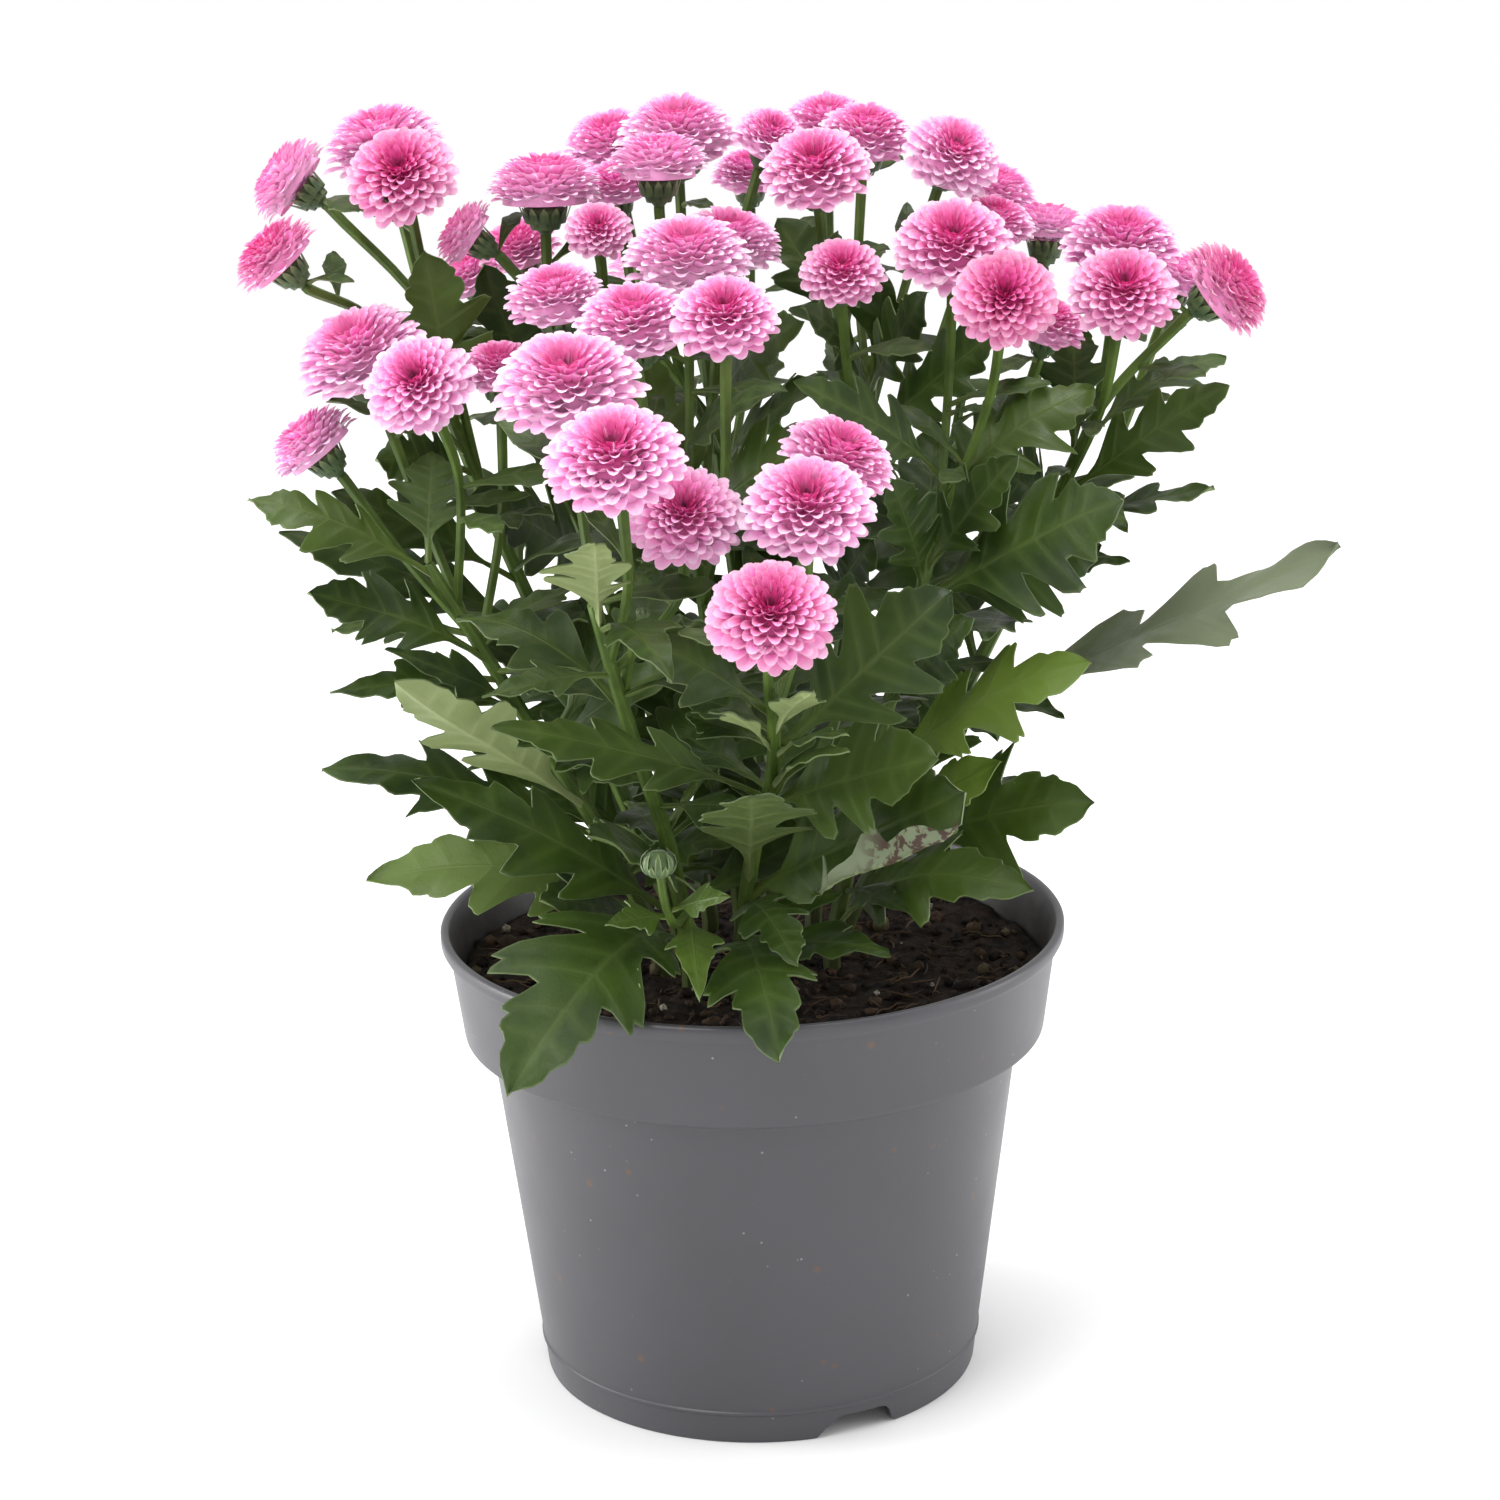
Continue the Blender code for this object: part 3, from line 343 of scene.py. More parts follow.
def leaf_surface(leaf):
    # A function that takes a share of the length and a sideways share to a place in the layout
    root, tip, width, up, bow, _ = leaf
    chord = tip - root
    along = chord.normalized()
    side = along.cross(up).normalized()
    normal = side.cross(along)

    def place(share, across, lift=0.0):
        rise = bow * 4 * share * (1 - share) + lift
        fold = FOLD * abs(across) - TIP_CURL * across ** 2 * share
        return (root + chord * share + side * (across * width / 2)
                + normal * (rise + fold * width / 2))
    return place


def leaf_sheet(leaf, lift=0.0, start=0.0, spread=1.0):
    # The coarse blade: its corners, its triangles and the corners round its rim
    outline, rib = leaf[5]
    place = leaf_surface(leaf)
    left = [place(max(share, start), -across * spread, lift) for share, across in outline]
    right = [place(max(share, start), across * spread, lift) for share, across in outline]
    corners = left + right + [place(share, 0.0, lift) for share in rib] + [place(1.0, 0.0, lift)]
    side = len(outline)
    tip = len(corners) - 1
    edge = [(outline[i][0], i) for i in range(1, side)] + [(1.0, tip)]
    spine = [(share, 2 * side + i) for i, share in enumerate(rib)] + [(1.0, tip)]
    faces = [(0, side, side + 1), (0, side + 1, 1), (1, side + 1, 2 * side)]
    while len(edge) > 1:
        (_, outer), (_, inner) = edge[0], spine[0]
        if len(spine) > 1 and (spine[1][0] < edge[1][0] or edge[1][1] == tip):
            spine.pop(0)
            added = spine[0][1]
        else:
            edge.pop(0)
            added = edge[0][1]
        if added in (outer, inner):
            continue
        faces.append((outer, inner, added))
        mirror = [corner + side if corner < side else corner for corner in (added, inner, outer)]
        faces.append(tuple(mirror))
    rim = list(range(side)) + [tip] + list(range(2 * side - 1, side - 1, -1))
    return corners, faces, rim


def blade_tree(leaf, start):
    # The blade beyond a share of its length, thickened by the clearance, for crossing tests
    low, faces, rim = leaf_sheet(leaf, -CLEARANCE, start, SPREAD)
    high = leaf_sheet(leaf, CLEARANCE, start, SPREAD)[0]
    shift = len(low)
    faces = faces + [tuple(v + shift for v in face) for face in faces]
    for a, b in zip(rim, rim[1:] + rim[:1]):
        faces += [(a, b, b + shift), (a, b + shift, a + shift)]
    return BVHTree.FromPolygons(low + high, faces)


def ring_faces(rings, sides):
    # Triangles between rings of corners that follow each other
    faces = []
    for ring in range(rings - 1):
        for turn in range(sides):
            a = ring * sides + turn
            b = ring * sides + (turn + 1) % sides
            faces += [(a, b, b + sides), (a, b + sides, a + sides)]
    return faces


def tube_tree(points, radii, sides=6):
    # A tube along points, for crossing tests
    corners = []
    for index, point in enumerate(points):
        ahead = points[min(index + 1, len(points) - 1)] - points[max(index - 1, 0)]
        side = ahead.orthogonal().normalized()
        other = ahead.cross(side).normalized()
        for turn in range(sides):
            angle = 2 * math.pi * turn / sides
            corners.append(point + (side * math.cos(angle) + other * math.sin(angle)) * radii[index])
    return BVHTree.FromPolygons(corners, ring_faces(len(points), sides))


def bloom_tree(bloom):
    # The room that a bloom takes, for crossing tests
    base, axis = bloom_base(bloom)
    radius = bloom[2] / 2
    points = [base + axis * (height * bloom[2]) for height, _ in BLOOM_ROOM]
    return tube_tree(points, [radius * share + GAP for _, share in BLOOM_ROOM], PETALS_ROUND)


def clear(tree, obstacles, skip=()):
    # Whether a tree crosses none of the obstacles whose owner isn't skipped
    return not any(owner not in skip and tree.overlap(other) for owner, other in obstacles)


def grow_stalk(index, bloom, paths, obstacles, rng):
    # A side stalk from the shoot's stem to the cup under the bloom, bent clear of everything else
    base, axis = bloom_base(bloom)
    radius = bloom[2] / 2 * CUP_RADIUS
    cap = base - axis * GAP
    neck = cap - axis * CUP_HEIGHT
    path = paths[bloom[0]]
    best = None
    aside = (neck.xy - path[-1].xy).length
    start = max(0.5, STALK_TOP - ROOT_DROP * aside)
    for attempt in range(STALK_TRIES):
        loose = min(1.0, 3 * attempt / STALK_TRIES)
        root = point_at_share(path, start + rng.uniform(-STALK_LOWER, STALK_TOP - start) * loose)
        reach = (neck - root).length
        middle = neck - axis * (STALK_REACH * reach) - Vector((0, 0, STALK_SAG * reach))
        middle = middle.lerp((root + neck) / 2, STALK_EVEN)
        middle += Vector([rng.uniform(-1, 1) for _ in range(3)]) * (STALK_WANDER * attempt)
        points = [root, middle, neck, cap]
        radii = [STALK_RADIUS, STALK_RADIUS, STALK_RADIUS * STALK_NECK, radius]
        tree = tube_tree(points, [r + STEM_ROOM for r in radii])
        best = best or (points, radii, tree)
        if clear(tree, obstacles, (("bloom", index), bloom[0])):
            return points, radii, tree
    return best


def feature_leaf(row, attempt, paths, rng):
    # A leaf of the list, moved a little more with each attempt, most of all along the line of sight
    name, height, tip, width, face, bow = row
    root = point_at_height(paths[name], height + rng.uniform(-1, 1) * ROOT_PLAY * attempt)
    slope = math.radians(SIGHT_SLOPE)
    sight = Vector((0, math.cos(slope), -math.sin(slope)))
    moved = Vector(tip) + sight * (rng.uniform(-1, 1) * SIGHT_PLAY * attempt)
    moved += Vector([rng.uniform(-1, 1) for _ in range(3)]) * (SIDE_PLAY * attempt)
    shrink = 1.0 - LEAF_SHRINK * attempt
    tilt = math.radians(face + rng.uniform(-1, 1) * TILT_PLAY * attempt)
    up = Vector((0, -math.sin(tilt), math.cos(tilt)))
    form = LOBED if width > PLAIN_WIDTH else PLAIN
    return root, root + (moved - root) * shrink, width * shrink, up, bow, form


def rule_leaf(name, order, count, attempt, paths, rng):
    # The next leaf up the stem by the golden angle, or None where a low one would reach out too far
    path = paths[name]
    share = RULE_LEAVES_FROM + RULE_LEAVES_SPAN * (order + rng.uniform(*RULE_STEP)) / count
    root = point_at_share(path, share)
    turn = math.radians(GOLDEN_ANGLE * order + rng.uniform(-1, 1) * RULE_TURN * attempt)
    turn += math.atan2(path[-1].y, path[-1].x)
    heading = Vector((math.cos(turn), math.sin(turn), 0))
    length = (LOW_LEAF + (TOP_LEAF - LOW_LEAF) * share) * (1 - 2 * LEAF_SHRINK * attempt)
    rise = math.radians(rng.uniform(*LEAF_RISE))
    direction = heading * math.cos(rise) + Vector((0, 0, math.sin(rise)))
    tip = root + direction * length
    if abs(tip.x) > LOW_REACH and tip.z < LOW_REACH_TOP:
        return None
    up = Vector((0, rng.uniform(*FACE_FRONT), 1)) + heading * rng.uniform(*FACE_OUT)
    form = LOBED if share < LOBED_SHARE else PLAIN
    width = length * rng.uniform(*LEAF_WIDTH)
    return root, tip, width, up, rng.uniform(*LEAF_BOW), form


def place_leaf(make, order, name, obstacles):
    # The first of the leaves that make gives that is clear of all but its own shoot's axil, or None
    own_stems = [obstacle for obstacle in obstacles if obstacle[0] == name]
    for attempt in range(LEAF_TRIES):
        leaf = make(order, attempt)
        if not leaf:
            continue
        tree = blade_tree(leaf, ROOT_SHARE)
        if not clear(tree, obstacles, (name,)) or not clear(blade_tree(leaf, AXIL_SHARE), own_stems):
            continue
        place = leaf_surface(leaf)
        stub = tube_tree([place(0.0, 0.0), place(ROOT_SHARE, 0.0)], [STUB_RADIUS] * 2, 4)
        if clear(stub, obstacles, (name, ("leaves", name))):
            obstacles += [(("leaves", name), tree), (("leaves", name), stub)]
            return leaf
    return None


def pot_tree():
    # The soil's surface, the inside of the pot above it, and the rim and collar outside
    near = POT_ROOM
    inside = COLLAR_TOP_RADIUS - WALL - near
    section = [(1.0, SOIL_TOP + near), (inside, SOIL_TOP + near), (inside, RIM_BASE - near),
               (RIM_RADIUS - 2 * WALL, RIM_TOP + near), (RIM_RADIUS + near, RIM_TOP + near),
               (RIM_RADIUS + near, RIM_BASE - near), (COLLAR_TOP_RADIUS + near, RIM_BASE - 2 * near),
               (COLLAR_FOOT_RADIUS + near, COLLAR_FOOT)]
    corners = []
    for radius, height in section:
        for turn in range(POT_SEGMENTS):
            angle = 2 * math.pi * turn / POT_SEGMENTS
            corners.append(Vector((radius * math.cos(angle), radius * math.sin(angle), height)))
    return BVHTree.FromPolygons(corners, ring_faces(len(section), POT_SEGMENTS))


def bud_path(name, paths):
    # The bud's stalk, from the shoot's stem to the bud's middle
    shoot, height, points, _ = BUDS[name]
    return smooth_path([point_at_height(paths[shoot], height)] + list(points), STEM_SPANS)


def grow():
    # The whole layout: stalks, leaves and buds of every shoot, each clear of the other pieces
    rng = random.Random(SEED)
    paths = {name: stem_path(name, STEM_SPANS) for name in SHOOTS}
    obstacles = [("pot", pot_tree())]
    obstacles += [(("bloom", i), bloom_tree(b)) for i, b in enumerate(BLOOMS)]
    for name, path in paths.items():
        obstacles.append((name, tube_tree(path, [radius + STEM_ROOM for radius in stem_radii(path)])))
    stalks = {name: [] for name in SHOOTS}
    for index, bloom in enumerate(BLOOMS):
        points, radii, tree = grow_stalk(index, bloom, paths, obstacles, rng)
        stalks[bloom[0]].append((points, radii))
        obstacles.append((bloom[0], tree))
    for name, (shoot, _, _, radius) in BUDS.items():
        paths[name] = bud_path(name, paths)
        stalks[shoot].append((paths[name], [BUD_STALK_RADIUS] * len(paths[name])))
        thick = [BUD_STALK_RADIUS + STEM_ROOM] * STEM_SPANS + [radius + STEM_ROOM]
        obstacles.append((shoot, tube_tree(paths[name], thick)))

    def from_list(row, attempt):
        return feature_leaf(row, attempt, paths, rng)

    def by_rule(spot, attempt):
        return rule_leaf(*spot, attempt, paths, rng)

    leaves = {name: [] for name in SHOOTS}
    for row in LEAVES:
        shoot = BUDS[row[0]][0] if row[0] in BUDS else row[0]
        leaves[shoot].append(place_leaf(from_list, row, shoot, obstacles))
    counts = {name: max(FEWEST_RULE_LEAVES, SHOOT_LEAVES - len(leaves[name])) for name in SHOOTS}
    for order in range(SHOOT_LEAVES):
        for name in SHOOTS:
            if order < counts[name]:
                leaves[name].append(place_leaf(by_rule, (name, order, counts[name]), name, obstacles))
    for name in SHOOTS:
        leaves[name] = [leaf for leaf in leaves[name] if leaf]
    return paths, stalks, leaves, obstacles


# Fine shapes

# Florets and the dome under them: how many a bloom twice as wide as SMALL_BLOOM has, the share of them
# that a small one has, how far each varies, and where the curve from root to tip has its handles
FLORETS_FULL = 188
FLORETS_LEAST = 0.62
SMALL_BLOOM = 14.0
PETAL_SEED = 1000
FLORET_ROWS = (0.0, 0.22, 0.42, 0.60, 0.76, 0.90, 1.0)
FLORET_COLUMNS = 6
FLORET_PLAY = {"ring": 0.012, "turn": 3.0, "reach": 0.025, "height": 0.02, "root": 3.0, "tip": 6.0,
               "width": 0.07, "cup": 0.10}
RING_START = 0.6
RING_POWER = 0.56
ROOT_REACH = 0.30
ROOT_HEIGHT = 0.10
ROOT_CROWN = 0.34
ROOT_HANDLE = 0.42
TIP_HANDLE = 0.34
TIP_ROUNDING = 0.17
TIP_NARROWING = 0.12
CLAW_WIDTH = 0.40
BELLY_ROW = 0.70
BELLY_POWER = 1.2
TIP_ROW = 0.76
RIM_ROW = 0.8
CUP_OPENING = 0.25
DOME_RINGS = 9
DOME_SIDES = 20
DOME_SHARE = 0.72
DOME_ALONG = 0.45
DOME_TONE = 0.5

# Blooms by number: how deep a pink the young ones have, and how faded the others are
DEEP_BLOOMS = {
    2: 0.7, 3: 0.3, 4: 1.0, 5: 0.4, 6: 0.5, 8: 0.1, 16: 0.3, 18: 0.2, 21: 0.3, 22: 0.3, 23: 1.0, 24: 0.4,
    25: 0.5, 28: 0.5, 30: 1.0, 31: 0.4, 36: 0.2, 39: 0.3, 45: 0.2, 46: 0.5,
}
PALE_BLOOMS = {
    1: 0.6, 10: 0.9, 17: 0.6, 19: 0.6, 27: 0.5, 32: 0.6, 33: 1.0, 34: 0.8, 35: 0.6, 37: 0.9, 38: 0.4,
    41: 1.0, 42: 0.5, 43: 0.5, 44: 0.6,
}
PALE_COMMON = 0.3

# From the middle of a bloom to its edge: reach and height of a floret's tip in radii, the slopes of
# its tip and of its root in degrees, its width in radii, and how far its sides turn up in degrees
RING_KEYS = (0.0, 0.10, 0.22, 0.36, 0.50, 0.64, 0.78, 0.90, 1.0)
TIP_REACH = (0.02, 0.07, 0.20, 0.39, 0.57, 0.74, 0.89, 0.985, 1.0)
TIP_HEIGHT = (0.68, 0.76, 0.90, 0.95, 0.90, 0.79, 0.63, 0.43, 0.20)
TIP_RISE = (110.0, 100.0, 72.0, 46.0, 27.0, 14.0, 3.0, -9.0, -22.0)
ROOT_RISE = (90.0, 88.0, 82.0, 70.0, 54.0, 38.0, 22.0, 8.0, 2.0)
FLORET_WIDTH = (0.075, 0.095, 0.14, 0.185, 0.225, 0.25, 0.265, 0.275, 0.28)
FLORET_CUP = (95.0, 94.0, 90.0, 86.0, 80.0, 72.0, 60.0, 45.0, 32.0)

# Half width of a leaf, as a share of its widest, at each place along its rib
LOBED_KEYS = (
    0.0, 0.12, 0.20, 0.24, 0.262, 0.28, 0.30, 0.32, 0.338, 0.354, 0.372, 0.387, 0.40, 0.415,
    0.44, 0.465, 0.49, 0.515, 0.535, 0.553, 0.575, 0.595, 0.61, 0.622, 0.635,
    0.66, 0.69, 0.72, 0.745, 0.76, 0.78, 0.81, 0.835, 0.855, 0.88, 0.91, 0.94, 0.97, 1.0,
)
LOBED_WIDTHS = (
    0.085, 0.075, 0.10, 0.19, 0.40, 0.64, 0.85, 0.97, 0.91, 0.96, 0.84, 0.64, 0.46, 0.36,
    0.40, 0.58, 0.78, 0.94, 1.0, 0.93, 0.97, 0.85, 0.66, 0.48, 0.40,
    0.46, 0.56, 0.60, 0.56, 0.49, 0.46, 0.49, 0.46, 0.38, 0.33, 0.30, 0.22, 0.12, 0.0,
)
PLAIN_KEYS = (
    0.0, 0.14, 0.22, 0.27, 0.31, 0.34, 0.37, 0.40, 0.43, 0.455, 0.475, 0.49, 0.51,
    0.54, 0.57, 0.60, 0.63, 0.66, 0.70, 0.74, 0.79, 0.84, 0.89, 0.94, 0.98, 1.0,
)
PLAIN_WIDTHS = (
    0.10, 0.11, 0.15, 0.26, 0.46, 0.68, 0.87, 0.97, 0.98, 0.88, 0.70, 0.58, 0.55,
    0.60, 0.64, 0.62, 0.52, 0.45, 0.44, 0.40, 0.33, 0.27, 0.20, 0.12, 0.05, 0.0,
)
BRACT_KEYS = (0.0, 0.10, 0.22, 0.34, 0.46, 0.52, 0.56, 0.68, 0.72, 0.84, 0.94, 1.0)
BRACT_WIDTHS = (0.09, 0.11, 0.30, 0.56, 0.78, 0.86, 0.76, 0.72, 0.60, 0.46, 0.26, 0.02)

# A blade's columns of points, its ribs, and how far leaves vary in their teeth, sides and waves
LEAF_SEED = 200
LEAF_HALF_COLUMNS = (0.0, 0.07, 0.34, 0.68, 1.0)
LEAF_HALF_THICKNESS = 0.17
LATERAL_SLANT = 0.19
SLANT_FADE = 0.35
COMMON_WIDTH = 30
TEETH_PLAY = 0.05
SIDES_PLAY = 0.10
LOBES_PLAY = 0.03
RIPPLE = (0.7, 0.8)
RIPPLE_WAVES = 19
RIPPLE_FROM = 0.18
ROLL = 1.6
ROLL_WAVES = 5
ROLL_EDGE = 0.3
VEIN_PLACES = (0.275, 0.355, 0.52, 0.61, 0.75, 0.84)
VEIN_WIDTH = 0.04
SIDE_VEIN_WIDTH = 0.014
SIDE_VEIN_DEPTH = 0.8
SIDE_VEIN_FADE = 0.7
VEIN_END = 0.125
PETIOLE_END = 0.14
PETIOLE_FADE = 0.12
PETIOLE_RIDGE = 0.55
VEIN_RIDGE = 0.20
RIM_UPPER = 0.85

# Leaves by their place in the list: how fresh a green, how pale with painted sheen, and which one has a
# curled margin
BRIGHT_LEAVES = {
    1: 0.9, 2: 0.95, 3: 0.6, 4: 0.6, 5: 0.5, 6: 0.55, 13: 0.6, 20: 0.85, 23: 0.65, 24: 0.6, 25: 0.6, 34: 0.6,
}
# Leaves painted paler and greyer in place of their sheen
SHEEN_PALE_LEAVES = {0: 0.8, 20: 0.2}
COMMON_TONE = 0.62
SMALL_LEAF_TONE = 0.5
# Share of the upper face's darker green on the undersides of unlisted leaves: painted shade
UNLISTED_UNDER_SHADE = 0.7
LISTED_ROOT = 5
LISTED_TIP = 20
CURLED_LEAF = 5
CURL_FROM = 0.47
CURL_KEYS = (0.18, 0.40, 0.58, 0.80, 0.90, 1.0)
CURL_REACH = (0.50, 0.74, 0.90, 0.88, 0.66, 0.0)
CURL_RADIUS = 0.09
CURL_TURN = 2.6
CURL_START = 0.24
CURL_FADE = 0.10
CURL_TIP = 0.14
CURL_PALE = 0.75
CURL_PALE_FROM = 0.8
WORN_START = 0.50
WORN_WIDTH = 0.12
CURL_COLUMNS = (0, 0.08, 0.27, 0.42, 0.49, 0.54, 0.59, 0.64, 0.69, 0.74, 0.79, 0.85, 0.92, 1)

# Small leaves on a stalk and on a stem: how many, and the ranges of their length, of their width as a
# share of it and of their rise in degrees
STALK_LEAVES = 2
INNER_LEAVES = 9
SMALL_LEAF_SEED = 300
SMALL_LEAF_TRIES = 14
SMALL_LEAF_SHRINK = 0.03
SMALL_LEAF_PLACES = (0.10, 0.92)
SMALL_LEAF_BOW = (0.5, 2)
SMALL_LEAF_RISE = (0.55, 0.45)
SMALL_LEAF_UP = (0, -0.4, 1)
SMALL_LEAF_LEAN = 0.2
STALK_LEAF = ((13, 26), (0.28, 0.42), (15, 60))
INNER_LEAF = ((26, 42), (0.40, 0.52), (0, 50))
BRACT_WIDTH = 11.0

# Stems and stalks, with the narrow rings that close their ends
STEM_SIDES = 12
STEM_STEPS = 30
STEM_SUNK = 3
WOODY_HEIGHT = 110
STALK_SIDES = 10
STALK_STEPS = 14
STALK_SLIM = 0.94
STALK_SINK = 0.18
BLOOM_STALK_POINTS = 4
CUP_GROWTH = 2
END_RADIUS = 0.01
END_STEP = 0.001
FIRST_SIDE = (0.3, 0.9, 0.1)

# Cups and buds: a section in radii and millimetres, or in radii alone, and rows of scales round it
# A row of a cup's scales: its reach in radii, its foot and top in heights of the cup, and its count
# A row of a bud's scales: the angle of their tips, and the turn of the row in scales
CUP_SIDES = 16
CUP_SECTION = ((0.08, -5.5), (0.10, -4.73), (0.19, -3.41), (0.29, -1.98), (0.33, -0.4), (0.36, 0.8),
               (0.30, 1.0), (0.01, 1.0))
CUP_SCALES = ((0.20, -0.70, -0.02, 10), (0.30, -0.45, 0.22, 12))
CUP_SCALE_WIDTH = 3.63
CUP_SCALE_OUT = 0.02
CUP_SCALE_LEAN = 0.10
CUP_SCALE_ARCH = 0.25
CUP_SCALE_TONES = (0.4, 0.6)
CUP_TONE = 0.3
BUD_SIDES = 14
BUD_SLIM = 0.86
BUD_SECTION = ((0.05, -0.85), (0.45, -0.75), (0.85, -0.35), (0.98, 0.0), (0.85, 0.35), (0.5, 0.6),
               (0.02, 0.68))
BUD_SCALES = 8
BUD_SCALE_ROWS = ((55, 0.0), (5, 0.5))
BUD_SCALE_START = -60
BUD_SCALE_OUT = 1.04
BUD_ROW_OUT = 0.06
BUD_SCALE_TALL = 0.9
BUD_SCALE_WIDTH = 0.22
BUD_SCALE_ARCH = 0.12
BUD_SCALE_TONES = (0.35, 0.45, 0.3)
BUD_TONE = 0.1

# Soil: its rings and spokes, the skirt at its edge, and what lies on it
BED_SEED = 5
SCATTER_SEED = 6
SOIL_RINGS = 46
SOIL_SPOKES = 150
SOIL_MIDDLE = 0.3
SOIL_GRAIN = 0.28
SOIL_EDGE_DROP = 0.5
SOIL_SKIRT = ((0.4, 4), (1.5, 9))
GRAIN_SIDES = 6
GRAIN_LEVELS = (-88, -35, 20, 88)
GRAIN_REACH = (0.75, 1.2)
GRAIN_HEIGHT = (0.85, 1.15)
CRUMBS = 900
CRUMB_SIZE = (-0.1, 0.45)
CRUMB_LARGEST = 2.6
CRUMB_FLAT = (0.5, 1.0)
CRUMB_LIFT = 0.25
PERLITE = 46
PERLITE_SIZE = (0.4, 1.0)
STONE_FROM = 0.5
STONE_GROWTH = 3.0
PERLITE_LIFT = 0.5
FIBRES = 220
FIBRE_LENGTH = (3, 11)
FIBRE_RADII = (0.05, 0.22, 0.25, 0.2, 0.04)
FIBRE_SIDES = 4
FIBRE_BEND = 0.5
FIBRE_LIFT = 0.5
FIBRE_LOOSE = 0.9
SCATTER_EDGE = 62.5
FIBRE_EDGE = 58

# Pot
POT_STEPS = 192
FOOT_LINE = 7.5
POT_MIDDLE = 0.05
# How much of the inside's darkening the rim's inside takes
RIM_INSIDE = 0.3
NOTCH_DEPTH = 6
FRONT_ANGLE = 90
SHARP_ANGLE = 38

# Camera in millimetres and degrees, floor in metres, and the lights' places, targets, sizes and powers
CAMERA_DISTANCE = 900.0
CAMERA_TARGET = (0.3, 0.0, 145.1)
CAMERA_RISE = 17.2
CAMERA_ROLL = -1.2
CAMERA_LENS = 97.3
CAMERA_SENSOR = 36
CAMERA_NEAR = 0.01
FLOOR_SIDE = 6.0
FLOOR_BACK = 1.3
SKY_LEAN = 0.6
SKY_SPAN = (-1.0, 0.15)
FRONT_GLOW = 0.30
LIGHTS = {
    "key": ((-0.6, -0.7, 1.2), (0, 0, 0.2), 0.7, 7.0),
    "front": ((0.25, -1.3, 0.32), (0, 0, 0.16), 0.9, 3.2),
    "top": ((0.1, 0.1, 1.3), (0, 0, 0.2), 0.8, 11.0),
    "left_side": ((-1.2, 0.05, 0.35), (0, 0, 0.12), 0.7, 13.0),
    "right_side": ((1.2, 0.05, 0.35), (0, 0, 0.12), 0.7, 5.5),
}


# Meshes

def grid_mesh(name, points, quads, layers, material):
    # A mesh from points in millimetres, with one number for each point in each named layer
    mesh = bpy.data.meshes.new(name)
    mesh.vertices.add(len(points))
    mesh.vertices.foreach_set("co", np.asarray(points, np.float32).ravel() * MM)
    quads = np.asarray(quads, np.int32)
    mesh.loops.add(quads.size)
    mesh.polygons.add(len(quads))
    mesh.polygons.foreach_set("loop_start", np.arange(0, quads.size, quads.shape[1], dtype=np.int32))
    mesh.loops.foreach_set("vertex_index", quads.ravel())
    for key, values in layers.items():
        layer = mesh.attributes.new(key, "FLOAT", "POINT")
        layer.data.foreach_set("value", np.asarray(values, np.float32).ravel())
    mesh.update(calc_edges=True)
    mesh.validate()
    mesh.polygons.foreach_set("use_smooth", np.ones(len(mesh.polygons), bool))
    mesh.materials.append(material)
    item = bpy.data.objects.new(name, mesh)
    bpy.context.scene.collection.objects.link(item)
    return item


def finish_piece(item, slot, *nodes):
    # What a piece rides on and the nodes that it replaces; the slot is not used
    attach(item, "root")
    if nodes:
        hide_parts(*nodes)


def grid_quads(rows, columns, closed=False):
    # Quads between rows of points, the columns running round when closed
    quads = []
    across = columns if closed else columns - 1
    for row in range(rows - 1):
        for column in range(across):
            a = row * columns + column
            b = row * columns + (column + 1) % columns
            quads.append((a, b, b + columns, a + columns))
    return np.array(quads, np.int32)


def ramp(value, start, length):
    # 0 up to the start, 1 from a length beyond it, and rising evenly between
    return np.clip((value - start) / length, 0, 1)


def full_turn(sides):
    # Angles at even steps round a circle
    return np.linspace(0, 2 * math.pi, sides, endpoint=False)


def turned(section, sides):
    # A ring of points round the Z axis for each radius and height of a section
    turns = full_turn(sides)
    rings = [np.stack([r * np.cos(turns), r * np.sin(turns), np.full(sides, z)], 1) for r, z in section]
    return np.concatenate(rings)


def swung(out, aside, height, angle):
    # Points given by reach, offset aside and height, swung to an angle round the Z axis
    cos, sin = np.cos(angle), np.sin(angle)
    return np.stack([out * cos - aside * sin, out * sin + aside * cos, height + 0 * aside], -1)


def bloom_axes(bloom):
    # The middle of a bloom's foot, and the bloom's own axes, the last one out of its face
    base, axis = bloom_base(bloom)
    side = axis.orthogonal().normalized()
    return np.array(base), np.array([side, axis.cross(side), axis])


class Batch:
    # Gathers many small grids into one mesh

    def __init__(self):
        self.points = []
        self.quads = []
        self.layers = {}
        self.count = 0

    def add(self, points, quads, **layers):
        points = np.asarray(points, float).reshape(-1, 3)
        self.points.append(points)
        self.quads.append(np.asarray(quads) + self.count)
        for key, values in layers.items():
            values = np.broadcast_to(np.asarray(values, float).ravel(), (len(points),))
            self.layers.setdefault(key, []).append(values)
        self.count += len(points)

    def build(self, name, material):
        layers = {key: np.concatenate(values) for key, values in self.layers.items()}
        return grid_mesh(name, np.concatenate(self.points), np.concatenate(self.quads), layers, material)


# Materials

